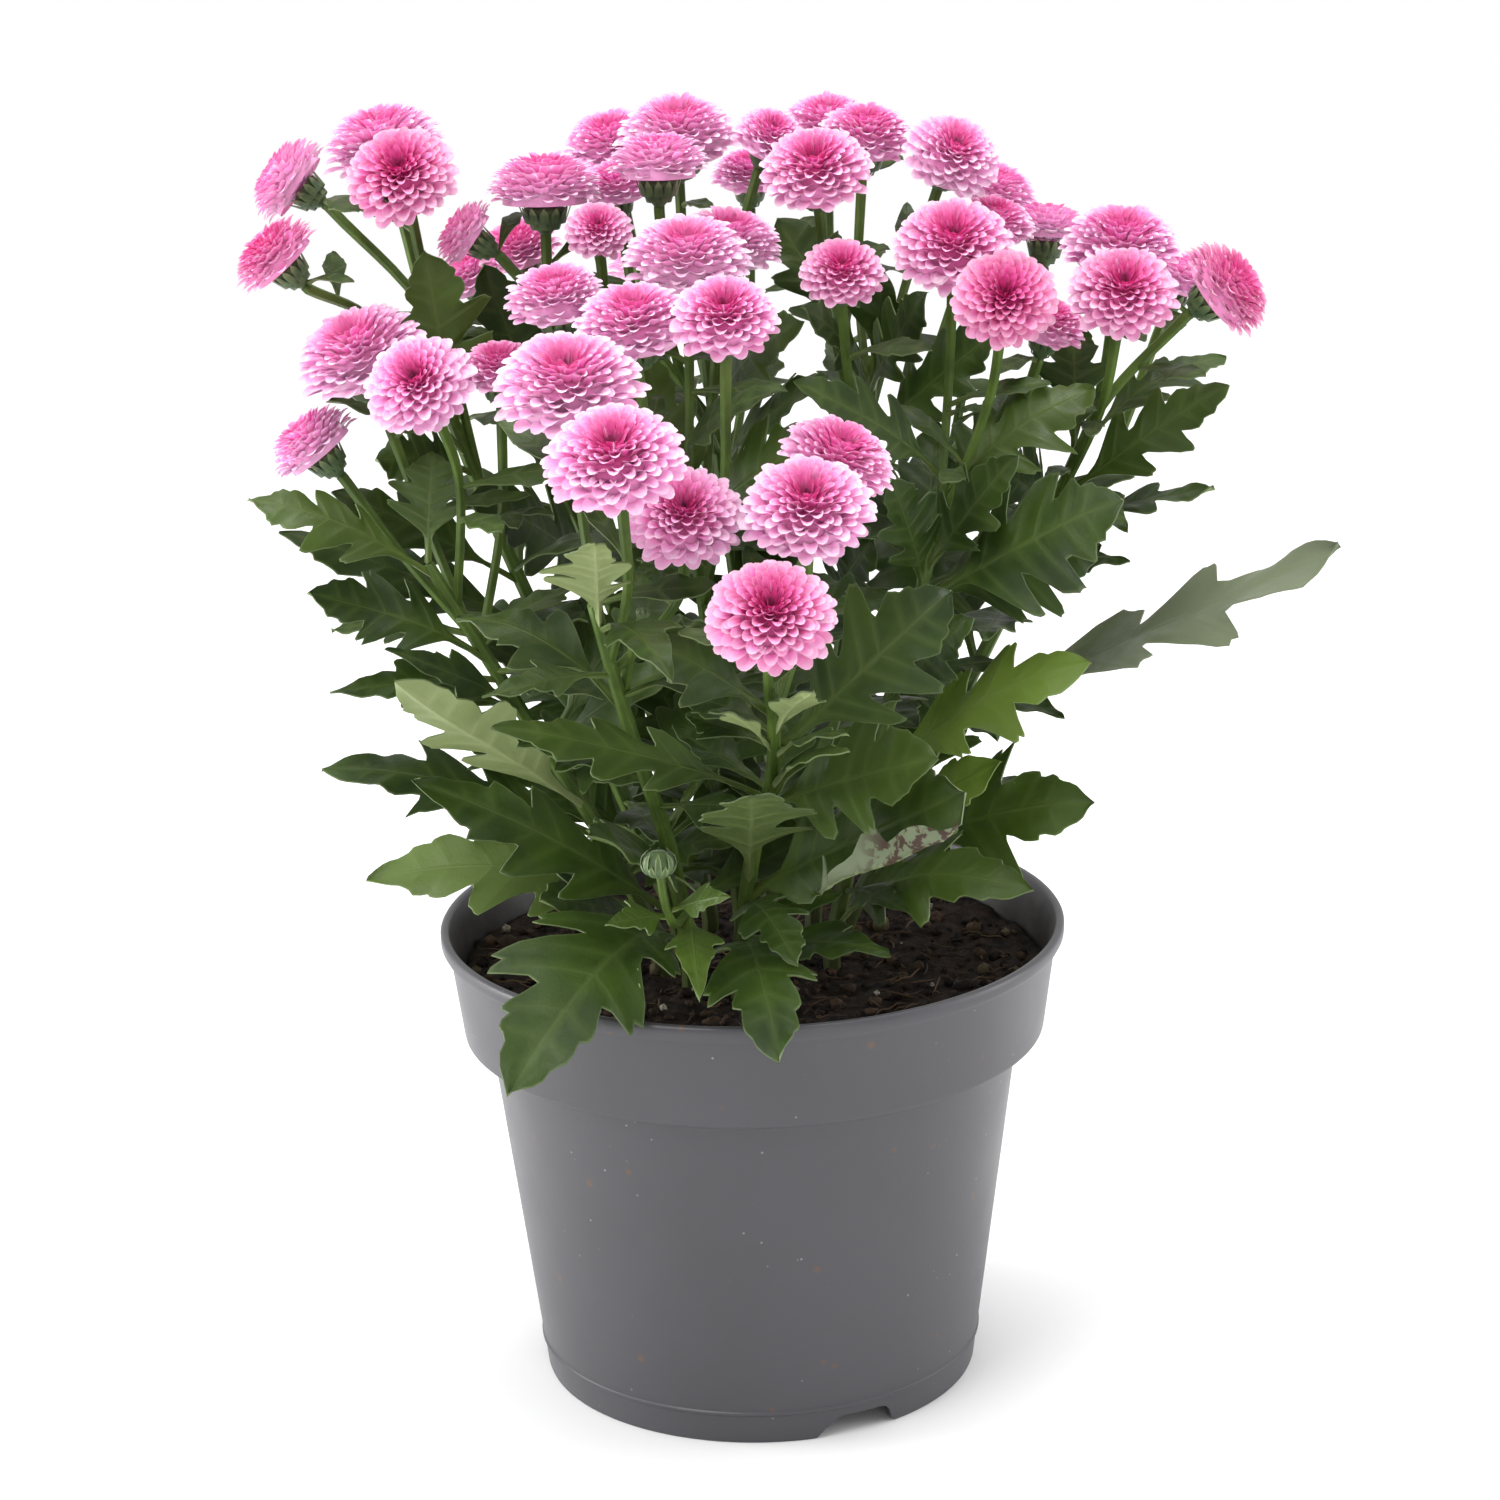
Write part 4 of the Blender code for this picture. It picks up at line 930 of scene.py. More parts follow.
COLOURS = {
    "petal eye": (0.10, 0.002, 0.020),
    "petal heart": (0.70, 0.026, 0.26),
    "petal pink": (0.92, 0.14, 0.48),
    "petal outer": (0.95, 0.50, 0.77),
    "petal tip, inner": (0.95, 0.34, 0.68),
    "petal tip, outer": (0.96, 0.62, 0.83),
    # Painted shade at the roots of the florets
    "petal root shade, inner": (0.70, 0.045, 0.29),
    "petal root shade, outer": (0.84, 0.19, 0.51),
    "petal rim": (0.97, 0.78, 0.90),
    "petal faded": (0.97, 0.72, 0.87),
    "petal young": (0.66, 0.028, 0.23),
    "petal streak": (0.80, 0.26, 0.54),
    "petal tint": (0.84, 0.28, 0.58),
    "leaf dark": (0.013, 0.030, 0.003),
    "leaf green": (0.030, 0.060, 0.005),
    "leaf fresh": (0.095, 0.155, 0.018),
    "leaf root": (0.11, 0.165, 0.028),
    "leaf rib": (0.14, 0.20, 0.05),
    # Painted highlight along the edges of the leaves
    "leaf edge highlight": (0.28, 0.36, 0.17),
    "leaf under": (0.20, 0.25, 0.10),
    "leaf under rib": (0.36, 0.41, 0.20),
    # Painted sheen on some leaves, and the pale underside of the rolled margin
    "leaf pale": (0.170, 0.200, 0.125),
    "leaf worn": (0.050, 0.028, 0.019),
    "stem dark": (0.046, 0.082, 0.012),
    "stem green": (0.088, 0.145, 0.024),
    "stem woody": (0.045, 0.040, 0.018),
    "cup dark": (0.030, 0.060, 0.018),
    "cup green": (0.07, 0.12, 0.035),
    "cup edge": (0.24, 0.30, 0.13),
    "peat dark": (0.009, 0.0068, 0.0062),
    "peat brown": (0.048, 0.031, 0.023),
    "peat warm": (0.090, 0.045, 0.022),
    "crumb dark": (0.011, 0.008, 0.007),
    "crumb brown": (0.075, 0.047, 0.030),
    "crumb warm": (0.12, 0.07, 0.035),
    "grain dirty": (0.24, 0.20, 0.15),
    "grain white": (0.60, 0.57, 0.50),
    "grain stone": (0.115, 0.095, 0.050),
    "fibre dark": (0.022, 0.013, 0.008),
    "fibre straw": (0.11, 0.065, 0.035),
    "pot dark": (0.046, 0.0455, 0.052),
    "pot grey": (0.053, 0.052, 0.060),
    "pot dirt": (0.10, 0.055, 0.035),
    "pot chalk": (0.32, 0.32, 0.33),
    "pot scuff": (0.26, 0.265, 0.28),
    # The darker colour of the pot's inside
    "pot dust": (0.016, 0.012, 0.010),
    "floor dark": (0.86, 0.86, 0.86),
    "floor light": (0.88, 0.88, 0.88),
    "studio white": (1, 1, 1),
}


class Shader:
    # The nodes of a material or of the world, added by short calls

    def __init__(self, name, owners=bpy.data.materials):
        self.owner = owners.new(name)
        self.owner.use_nodes = True
        self.tree = self.owner.node_tree

    def fill(self, node, **values):
        # Values or links for a node's inputs, whose names have _ for a space
        for key, value in values.items():
            self.link(value, node.inputs[key.replace("_", " ")])
        return node

    def node(self, kind, **values):
        return self.fill(self.tree.nodes.new("ShaderNode" + kind), **values)

    def link(self, value, socket):
        # Sets an input to a number or a named colour, or links it to another node
        if hasattr(value, "is_linked"):
            self.tree.links.new(value, socket)
        elif isinstance(value, str):
            socket.default_value = COLOURS[value] + (1,)
        else:
            socket.default_value = value

    def layer(self, name):
        # The number that a mesh has at each point under this name
        node = self.node("Attribute")
        node.attribute_name = name
        return node.outputs["Fac"]

    def place(self):
        return self.node("TexCoord").outputs["Object"]

    def noise(self, scale, detail=3.0, roughness=0.55):
        node = self.node("TexNoise", Scale=scale, Detail=detail, Roughness=roughness, Vector=self.place())
        return node.outputs["Fac"]

    def cells(self, scale):
        return self.node("TexVoronoi", Vector=self.place(), Scale=scale).outputs["Distance"]

    def maths(self, operation, *values):
        node = self.node("Math")
        node.operation = operation
        for socket, value in zip(node.inputs, values):
            self.link(value, socket)
        return node.outputs[0]

    def times(self, a, b):
        return self.maths("MULTIPLY", a, b)

    def plus(self, a, b):
        return self.maths("ADD", a, b)

    def spread(self, value, low, high, start=0.0, end=1.0):
        # A soft step from start to end while the value goes from low to high
        node = self.node("MapRange", Value=value, From_Min=low, From_Max=high, To_Min=start, To_Max=end)
        node.interpolation_type = "SMOOTHSTEP"
        return node.outputs["Result"]

    def mix(self, share, first, second):
        # A colour that share of the way from the first to the second
        node = self.node("Mix")
        node.data_type = "RGBA"
        return self.fill(node, Factor=share, A=first, B=second).outputs["Result"]

    def bump(self, height, strength, distance):
        return self.node("Bump", Height=height, Strength=strength, Distance=distance).outputs["Normal"]

    def done(self, colour, roughness, specular, **others):
        # The finished Principled material
        shader = self.tree.nodes["Principled BSDF"]
        self.fill(shader, Base_Color=colour, Roughness=roughness, Specular_IOR_Level=specular, **others)
        return self.owner


def petal_material():
    # Crimson at the eye, pink over the dome, nearly white at the edge and on each floret's rim, and deeper
    # towards each floret's root as painted shade
    s = Shader("petal_pink")
    ring = s.layer("ring")
    along = s.layer("along")
    inner = s.mix(s.spread(ring, 0.07, 0.22), "petal eye", "petal heart")
    body = s.mix(s.spread(ring, 0.22, 0.60), inner, "petal pink")
    outer = s.mix(s.spread(ring, 0.52, 1.0), body, "petal outer")
    tip_share = s.times(s.spread(along, 0.45, 1.0), s.spread(ring, 0.14, 0.55, 0.06, 0.85))
    tip_look = s.mix(s.spread(ring, 0.30, 0.85), "petal tip, inner", "petal tip, outer")
    tip = s.mix(tip_share, outer, tip_look)
    # Deeper pink towards each floret's root: painted shade where the florets overlap
    root_shade = s.mix(s.spread(ring, 0.3, 0.9), "petal root shade, inner", "petal root shade, outer")
    root = s.mix(s.spread(along, 0.74, 0.20, 0.0, 0.60), tip, root_shade)
    rim_share = s.times(s.spread(s.layer("rim"), 0.62, 1.0), s.spread(ring, 0.20, 0.65, 0.08, 0.85))
    rim = s.mix(rim_share, root, "petal rim")
    faded_share = s.times(s.layer("pale"), s.spread(ring, 0.2, 0.9, 0.12, 0.50))
    paled = s.mix(faded_share, rim, "petal faded")
    young_share = s.times(s.layer("deep"), s.spread(ring, 0.15, 1.0, 0.65, 0.30))
    young = s.mix(young_share, paled, "petal young")
    streak = s.noise(900.0, 2.0)
    streaked = s.mix(s.spread(streak, 0.45, 0.75, 0.0, 0.12), young, "petal streak")
    # A random tint for each floret, from its tone
    tinted = s.mix(s.spread(s.layer("tone"), 0.0, 1.0, 0.0, 0.14), streaked, "petal tint")
    return s.done(tinted, 0.58, 0.30, Normal=s.bump(streak, 0.15, 0.0004), Subsurface_Weight=0.60,
                  Subsurface_Radius=(1.0, 0.55, 0.85), Subsurface_Scale=0.003)


def leaf_material():
    # Dark satin upper face with paler ribs, greyer lower face, and a thin pale margin that is a painted
    # highlight
    s = Shader("leaf_green")
    vein = s.layer("vein")
    cloud = s.noise(60.0, 4.0)
    dark = s.mix(s.spread(cloud, 0.3, 0.7), "leaf dark", "leaf green")
    fresh = s.mix(s.spread(s.layer("tone"), 0.40, 1.0), dark, "leaf fresh")
    rooted = s.mix(s.spread(s.layer("rib"), 0.35, 0.0, 0.0, 0.45), fresh, "leaf root")
    ribbed = s.mix(s.times(vein, 0.26), rooted, "leaf rib")
    # A pale band at the blade's edge: painted highlight
    margin = s.mix(s.spread(s.layer("across"), 0.93, 1.0, 0.0, 0.14), ribbed, "leaf edge highlight")
    lower = s.mix(s.times(vein, 0.5), "leaf under", "leaf under rib")
    # The upper layer brings the upper face's darker colour onto the undersides too: painted shade
    both = s.mix(s.layer("upper"), lower, margin)
    # Paler by the pale layer: painted sheen on some leaves, and the rolled margin's pale underside
    paled = s.mix(s.layer("pale"), both, "leaf pale")
    spots = s.times(s.spread(s.noise(420.0, 5.0), 0.47, 0.54), s.layer("worn"))
    spotted = s.mix(spots, paled, "leaf worn")
    height = s.plus(s.times(vein, -0.8), s.times(s.noise(1500.0, 2.0), 0.22))
    roughness = s.spread(s.noise(300.0), 0.3, 0.7, 0.40, 0.56)
    return s.done(spotted, roughness, 0.26, Normal=s.bump(height, 0.5, 0.0006))


def stem_material():
    # Ribbed green, browner near the soil
    s = Shader("stem_green")
    green = s.mix(s.spread(s.noise(90.0), 0.3, 0.7), "stem dark", "stem green")
    woody = s.mix(s.spread(s.layer("tone"), 0.35, 0.0, 0.0, 0.6), green, "stem woody")
    return s.done(woody, 0.55, 0.25, Normal=s.bump(s.layer("ridge"), 0.5, 0.0006))


def cup_material():
    # Grey green with the pale edges of the scales
    s = Shader("cup_green")
    cloud = s.noise(400.0)
    green = s.mix(s.spread(cloud, 0.3, 0.7), "cup dark", "cup green")
    edge = s.mix(s.spread(s.layer("tone"), 0.65, 1.0, 0.0, 0.75), green, "cup edge")
    return s.done(edge, 0.55, 0.4, Normal=s.bump(cloud, 0.4, 0.0004), Sheen_Weight=0.1)


def soil_material():
    # Dark moist peat with warm specks
    s = Shader("soil_peat")
    coarse = s.noise(260.0, 6.0, 0.7)
    fine = s.noise(1800.0, 4.0, 0.7)
    dark = s.mix(s.spread(coarse, 0.35, 0.70), "peat dark", "peat brown")
    warm = s.mix(s.spread(fine, 0.60, 0.72, 0.0, 0.7), dark, "peat warm")
    height = s.plus(coarse, s.times(fine, 0.5))
    return s.done(warm, 0.93, 0.2, Normal=s.bump(height, 0.9, 0.0016))


def crumb_material():
    # Crumbs of peat, each of its own tone
    s = Shader("soil_crumbs")
    grain = s.noise(2500.0)
    dark = s.mix(s.spread(s.layer("tone"), 0.3, 1.0), "crumb dark", "crumb brown")
    spot = s.mix(s.spread(grain, 0.55, 0.7, 0.0, 0.5), dark, "crumb warm")
    return s.done(spot, 0.9, 0.25, Normal=s.bump(grain, 0.6, 0.0008))


def perlite_material():
    # Dusty white grains, and some of sandy stone
    s = Shader("perlite_white")
    grain = s.noise(2200.0, 4.0)
    white = s.mix(s.spread(grain, 0.35, 0.65), "grain dirty", "grain white")
    stone = s.mix(s.spread(s.layer("tone"), 0.55, 0.75), white, "grain stone")
    return s.done(stone, 0.85, 0.3, Normal=s.bump(grain, 0.8, 0.0008))


def fibre_material():
    # Fibres from dark brown to straw
    s = Shader("peat_fibre")
    return s.done(s.mix(s.layer("tone"), "fibre dark", "fibre straw"), 0.8, 0.3)


def pot_material():
    # Satin recycled plastic: faint clouding, scuffs, specks of dirt and chalk, and a darker, mottled inside
    s = Shader("pot_grey_plastic")
    cloud = s.noise(24.0, 5.0)
    grey = s.mix(s.spread(cloud, 0.3, 0.7), "pot dark", "pot grey")
    dirt = s.times(s.spread(s.cells(130.0), 0.15, 0.08), s.spread(s.noise(38.0, 1.0), 0.53, 0.58))
    soiled = s.mix(s.times(dirt, 0.75), grey, "pot dirt")
    chalk = s.times(s.spread(s.cells(330.0), 0.11, 0.06), s.spread(s.noise(70.0, 1.0), 0.56, 0.62))
    marked = s.mix(s.times(chalk, 0.6), soiled, "pot chalk")
    scuff = s.spread(s.noise(520.0, 6.0, 0.8), 0.66, 0.74, 0.0, 0.22)
    worn = s.mix(scuff, marked, "pot scuff")
    # Darker and mottled on the inner faces, less so on the rim's inside
    inside_dark = s.times(s.layer("inside"), s.spread(s.noise(160.0, 5.0), 0.25, 0.60, 0.35, 0.95))
    darkened_inside = s.mix(inside_dark, worn, "pot dust")
    roughness = s.spread(cloud, 0.25, 0.75, 0.36, 0.48)
    return s.done(darkened_inside, roughness, 0.5, Normal=s.bump(s.noise(1400.0, 2.0), 0.10, 0.0002))


def floor_material():
    # A pale floor, very faintly clouded
    s = Shader("floor_white")
    return s.done(s.mix(s.spread(s.noise(3.0), 0.3, 0.7), "floor dark", "floor light"), 0.8, 0.5)


# Blooms

def ring_value(table, ring):
    # A table's value at places from the middle of a bloom to its edge
    return np.interp(ring, RING_KEYS, table)


def floret_curve(ends, s):
    # Places and directions along the curve through the middle of each floret
    t = 1 - s
    path = np.einsum("kcn,knsv->cnsv", ends, np.array([t ** 3, 3 * t ** 2 * s, 3 * t * s ** 2, s ** 3]))
    slopes = np.array([-3 * t ** 2, 3 * t ** 2 - 6 * t * s, 6 * t * s - 3 * s ** 2, 3 * s ** 2])
    tangent = np.einsum("kcn,knsv->cnsv", ends, slopes)
    return path, tangent / (np.linalg.norm(tangent, axis=0) + 1e-9)


def build_petals(number, bloom, material):
    # Every floret of one bloom: a cupped spoon from its root on the cup to its tip on the dome
    radius = bloom[2] / 2
    foot, axes = bloom_axes(bloom)
    rng = np.random.default_rng(PETAL_SEED + number)
    fullness = min(1.0, (bloom[2] - SMALL_BLOOM) / SMALL_BLOOM)
    count = int(FLORETS_FULL * (FLORETS_LEAST + (1 - FLORETS_LEAST) * fullness))
    order = np.arange(count)

    def vary(name, middle=0.0):
        return rng.normal(middle, FLORET_PLAY[name], count)

    ring = np.clip(((order + RING_START) / count) ** RING_POWER + vary("ring"), 0.01, 1.0)
    turn = np.radians(order * GOLDEN_ANGLE + vary("turn"))
    reach = ring_value(TIP_REACH, ring) * vary("reach", 1.0)
    height = ring_value(TIP_HEIGHT, ring) + vary("height")
    root_rise = np.radians(ring_value(ROOT_RISE, ring) + vary("root"))
    tip_rise = np.radians(ring_value(TIP_RISE, ring) + vary("tip"))
    root_r = ROOT_REACH * ring
    root_z = ROOT_HEIGHT + ROOT_CROWN * (1 - ring ** 2)
    span = np.hypot(reach - root_r, height - root_z)
    ends = np.array([
        (root_r, root_z),
        (root_r + np.cos(root_rise) * span * ROOT_HANDLE, root_z + np.sin(root_rise) * span * ROOT_HANDLE),
        (reach - np.cos(tip_rise) * span * TIP_HANDLE, height - np.sin(tip_rise) * span * TIP_HANDLE),
        (reach, height)])
    width = ring_value(FLORET_WIDTH, ring) * vary("width", 1.0) * math.sqrt(FLORETS_FULL / count)
    cup = np.radians(ring_value(FLORET_CUP, ring) * vary("cup", 1.0))

    ring, width, cup, turn = [values[:, None, None] for values in (ring, width, cup, turn)]
    rows = np.array(FLORET_ROWS)[None, :, None]
    across = np.sin(np.linspace(-math.pi / 2, math.pi / 2, FLORET_COLUMNS + 1))[None, None, :]
    share = rows - TIP_ROUNDING * (across ** 2 + across ** 4) / 2 * rows ** 3 + 0 * ring
    path, tangent = floret_curve(ends, share)
    belly = CLAW_WIDTH + (1 - CLAW_WIDTH) * ramp(rows, 0, BELLY_ROW) ** BELLY_POWER
    belly = belly * (1 - TIP_NARROWING * ramp(rows, TIP_ROW, 1 - TIP_ROW) ** 2)
    open_cup = cup * (1 - CUP_OPENING * rows ** 2)
    curl = width * belly / 2 / open_cup
    lift = curl * (1 - np.cos(across * open_cup))
    aside = curl * np.sin(across * open_cup)
    spoons = swung(path[0] - tangent[1] * lift, aside, path[1] + tangent[0] * lift, turn)

    shape = share.shape
    quads = grid_quads(*shape[1:]) + (order * shape[1] * shape[2])[:, None, None]
    rim = np.maximum(np.abs(across), ramp(rows, RIM_ROW, 1 - RIM_ROW))
    layers = {"ring": ring, "along": rows, "rim": rim}
    layers = {key: np.broadcast_to(values, shape) for key, values in layers.items()}
    looks = {"pale": PALE_BLOOMS.get(number, PALE_COMMON), "deep": DEEP_BLOOMS.get(number, 0.0)}
    tone = np.broadcast_to(rng.random(count)[:, None, None], shape)
    petals = Batch()
    petals.add(spoons * radius @ axes + foot, quads.reshape(-1, 4), **layers, **looks, tone=tone)

    # The closed dome under the florets, which shows as pink between them
    rings = np.linspace(0.0, 1.0, DOME_RINGS)
    section = [DOME_SHARE * ring_value(table, rings) for table in (TIP_REACH, TIP_HEIGHT)]
    dome = turned(zip(*section), DOME_SIDES) * radius @ axes + foot
    petals.add(dome, grid_quads(DOME_RINGS, DOME_SIDES, True), ring=np.repeat(rings, DOME_SIDES),
               along=DOME_ALONG, rim=0, **looks, tone=DOME_TONE)
    finish_piece(petals.build("petals_%02d" % number, material), "petals", "bloom_%02d" % number)


# Leaves and stems

def leaf_points(leaf, share, across, lift):
    # The leaf's surface of the layout for whole arrays of places
    root, tip, width, up, bow, _ = leaf
    chord = tip - root
    side = chord.normalized().cross(up).normalized()
    normal = side.cross(chord.normalized())
    rise = bow * 4 * share * (1 - share) + lift
    fold = FOLD * np.abs(across) - TIP_CURL * across ** 2 * share
    place = np.array(root) + share[..., None] * np.array(chord)
    place = place + (across * width / 2)[..., None] * np.array(side)
    return place + (rise + fold * width / 2)[..., None] * np.array(normal)


def leaf_outline(keys, widths, along, across, rng):
    # Half widths of a blade with uneven teeth, lobes and sides
    jagged = np.array(widths) * (1 + TEETH_PLAY * rng.standard_normal(len(widths)))
    jagged[:3] = widths[:3]
    sides = 1 + SIDES_PLAY * rng.standard_normal(2)
    uneven = np.where(across < 0, sides[0], sides[1])
    return np.interp(along + LOBES_PLAY * rng.normal() * np.sin(math.pi * along), keys, jagged) * uneven


def roll_margin(along, sideways):
    # The right margin rolled over: new places across, rise in half widths, and how pale and how worn
    fold = CURL_FROM * np.sqrt(ramp(1 - along, 0, CURL_TIP))
    past = np.maximum(sideways - fold, 0) * ramp(along, CURL_START, CURL_FADE)
    rolled = np.minimum(past / CURL_RADIUS, CURL_TURN)
    beyond = past - rolled * CURL_RADIUS
    inward = fold + CURL_RADIUS * np.sin(rolled) + beyond * np.cos(rolled)
    rise = CURL_RADIUS * (1 - np.cos(rolled)) + beyond * np.sin(rolled)
    pale = CURL_PALE * ramp(rolled, CURL_PALE_FROM, 1)
    worn = ramp(past, 0, WORN_WIDTH) * ramp(along, WORN_START, CURL_FADE)
    return np.where(past > 0, inward, sideways), rise, pale, worn


def rim_of_grid(rows, columns):
    # The points round the rim of a grid, in order
    places = np.arange(rows * columns).reshape(rows, columns)
    return np.concatenate([places[0], places[1:, -1], places[-1, -2::-1], places[-2:0:-1, 0]])


def add_leaf(batch, leaf, tone, rng, pale=0.0, curled=False, under=0.0, bract=False):
    # A closed thin blade with toothed side lobes, wavy margins and raised ribs
    keys, widths = (LOBED_KEYS, LOBED_WIDTHS) if leaf[5] is LOBED else (PLAIN_KEYS, PLAIN_WIDTHS)
    if bract:
        keys, widths = BRACT_KEYS, BRACT_WIDTHS
    along = np.array(keys)[:, None]
    half = np.array(CURL_COLUMNS if curled else LEAF_HALF_COLUMNS)
    across = np.concatenate([-half[::-1], half[1:]])[None, :]
    reach = np.abs(across)
    outline = leaf_outline(keys, widths, along, across, rng)
    if curled:
        full = np.interp(along, CURL_KEYS, CURL_REACH, left=0.0)
        outline = np.where(across > 0, np.maximum(outline, full), outline)
    share = np.minimum(along + LATERAL_SLANT * reach * outline * (1 - along) ** SLANT_FADE, 1.0)
    sideways = across * outline

    phase = rng.uniform(0, 2 * math.pi, 2)
    size = leaf[2] / COMMON_WIDTH
    height = size * (RIPPLE[0] + RIPPLE[1] * rng.random())
    ripple = height * reach ** 2 * np.sin(RIPPLE_WAVES * along + 2 * across + phase[0])
    wave = np.sin(ROLL_WAVES * along + phase[1]) - math.sin(phase[1])
    lift = ripple * (along > RIPPLE_FROM) + size * ROLL * wave * along * (1 - ROLL_EDGE * reach)
    worn = np.zeros(share.shape)
    if curled:
        sideways, rise, pale, worn = roll_margin(along, sideways)
        lift = lift + rise * leaf[2] / 2

    petiole = 1 - ramp(along, PETIOLE_END, PETIOLE_FADE)
    vein = np.where(reach < 0.01, 1.0, np.exp(-(sideways / VEIN_WIDTH) ** 2))
    for spot in VEIN_PLACES:
        side_vein = np.exp(-((along - spot) / SIDE_VEIN_WIDTH) ** 2)
        vein = np.maximum(vein, SIDE_VEIN_DEPTH * side_vein * (1 - SIDE_VEIN_FADE * reach))
    vein = vein * ramp(1 - along, 0, VEIN_END)
    ridge = PETIOLE_RIDGE * petiole * (1 - across ** 2) + VEIN_RIDGE * vein
    top = leaf_points(leaf, share, sideways, lift + LEAF_HALF_THICKNESS + 0.5 * ridge * petiole)
    low = leaf_points(leaf, share, sideways, lift - LEAF_HALF_THICKNESS - ridge)

    quads = grid_quads(*share.shape)
    rib = np.broadcast_to(along, share.shape)
    layers = {"rib": rib, "across": np.broadcast_to(reach, share.shape), "worn": worn}
    batch.add(top, quads[:, ::-1], upper=1.0, tone=tone, vein=vein, pale=pale, **layers)
    # The underside takes the upper colour by the under share: painted shade
    batch.add(low, quads, upper=under, tone=tone, vein=vein, pale=pale, **layers)
    rim = rim_of_grid(*share.shape)
    edge = np.concatenate([top.reshape(-1, 3)[rim], low.reshape(-1, 3)[rim]])
    # The edge faces lie wholly in the margin's painted highlight
    layers = {"rib": np.tile(rib.ravel()[rim], 2), "across": 1.0, "pale": np.max(pale)}
    batch.add(edge, grid_quads(2, len(rim), True), upper=RIM_UPPER, tone=tone, vein=0.0, worn=0.0, **layers)


def tube_points(points, radii, sides):
    # Rings of points along a path, each turned as little as can be from the one before
    path = np.array([list(point) for point in points])
    tangents = np.gradient(path, axis=0)
    tangents /= np.linalg.norm(tangents, axis=1)[:, None]
    side = np.cross(tangents[0], FIRST_SIDE)
    turns = full_turn(sides)
    rows = []
    for spot, tangent, radius in zip(path, tangents, radii):
        side = side - tangent * side.dot(tangent)
        side /= np.linalg.norm(side)
        other = np.cross(tangent, side)
        rows.append(spot + radius * (np.cos(turns)[:, None] * side + np.sin(turns)[:, None] * other))
    return np.concatenate(rows)


def add_tube(batch, points, radii, sides):
    # A ridged tube whose ends are closed by a last narrow ring
    points = [points[0]] + list(points) + [points[-1]]
    radii = [END_RADIUS] + list(radii) + [END_RADIUS]
    points[0] = points[0] + (points[1] - points[2]) * END_STEP
    points[-1] = points[-1] + (points[-2] - points[-3]) * END_STEP
    ridge = np.tile(np.arange(sides) % 2, len(points))
    height = np.array([point[2] for point in points])
    tone = np.repeat(ramp(height, SOIL_TOP, WOODY_HEIGHT), sides)
    corners = tube_points(points, radii, sides)
    batch.add(corners, grid_quads(len(points), sides, True), ridge=ridge, tone=tone)


def resample(points, radii, count):
    # A smooth path through the points, and the radius at each of its steps
    spots = np.linspace(0, len(points) - 1, count + 1)
    return smooth_path(points, count), np.interp(spots, range(len(radii)), radii)


def add_cup(batch, bloom):
    # The green cup: a turned bowl with rows of pointed scales
    radius = bloom[2] / 2
    foot, axes = bloom_axes(bloom)
    bowl = turned([(reach * radius, height) for reach, height in CUP_SECTION], CUP_SIDES)
    batch.add(bowl @ axes + foot, grid_quads(len(CUP_SECTION), CUP_SIDES, True), tone=CUP_TONE)
    share = np.linspace(0, 1, 4)[:, None]
    across = np.linspace(-1, 1, 3)[None, :]
    for row, (reach, low, high, count) in enumerate(CUP_SCALES):
        out = (reach + CUP_SCALE_LEAN * share + CUP_SCALE_OUT) * radius + CUP_SCALE_ARCH * (1 - across ** 2)
        aside = CUP_SCALE_WIDTH * reach / count * radius * across * np.sqrt(1 - share ** 2)
        height = (low + (high - low) * share) * CUP_HEIGHT
        tone = CUP_SCALE_TONES[0] + CUP_SCALE_TONES[1] * share + 0 * across
        for step in range(count):
            scale = swung(out, aside, height, 2 * math.pi * (step + 0.5 * row) / count)
            batch.add(scale @ axes + foot, grid_quads(4, 3), tone=tone)


def add_bud(batch, spot, radius):
    # A shut bud: a dark button held by rows of pale green scales
    button = turned([(reach * radius, height * radius) for reach, height in BUD_SECTION], BUD_SIDES)
    batch.add(button + np.array(spot), grid_quads(len(BUD_SECTION), BUD_SIDES, True), tone=BUD_TONE)
    share = np.linspace(0, 1, 5)[:, None]
    across = np.linspace(-1, 1, 3)[None, :]
    aside = BUD_SCALE_WIDTH * radius * across * np.sqrt(1 - share ** 2.5)
    middle, edge, tip = BUD_SCALE_TONES
    tone = np.clip(middle + edge * np.abs(across) + tip * share, 0, 1)
    for end, offset in BUD_SCALE_ROWS:
        bend = np.radians(BUD_SCALE_START + (end - BUD_SCALE_START) * share)
        out = (BUD_SCALE_OUT + BUD_ROW_OUT * offset) * np.cos(bend) * radius
        out = out + BUD_SCALE_ARCH * (1 - across ** 2)
        height = np.sin(bend) * radius * BUD_SCALE_TALL
        for step in range(BUD_SCALES):
            scale = swung(out, aside, height, 2 * math.pi * (step + offset) / BUD_SCALES)
            batch.add(scale + np.array(spot), grid_quads(5, 3), tone=tone)


def small_leaf(spot, sizes, attempt, rng):
    # A plain leaf in a random direction from a spot, steeper towards the back
    lengths, shares, rises = sizes
    turn = rng.uniform(0, 2 * math.pi)
    rise = math.radians(rng.uniform(*rises)) * (SMALL_LEAF_RISE[0] + SMALL_LEAF_RISE[1] * math.sin(turn))
    length = rng.uniform(*lengths) * (1 - SMALL_LEAF_SHRINK * attempt)
    heading = Vector((math.cos(turn) * math.cos(rise), math.sin(turn) * math.cos(rise), math.sin(rise)))
    up = Vector(SMALL_LEAF_UP) - heading * SMALL_LEAF_LEAN
    width = length * rng.uniform(*shares)
    return spot, spot + heading * length, width, up, rng.uniform(*SMALL_LEAF_BOW), PLAIN


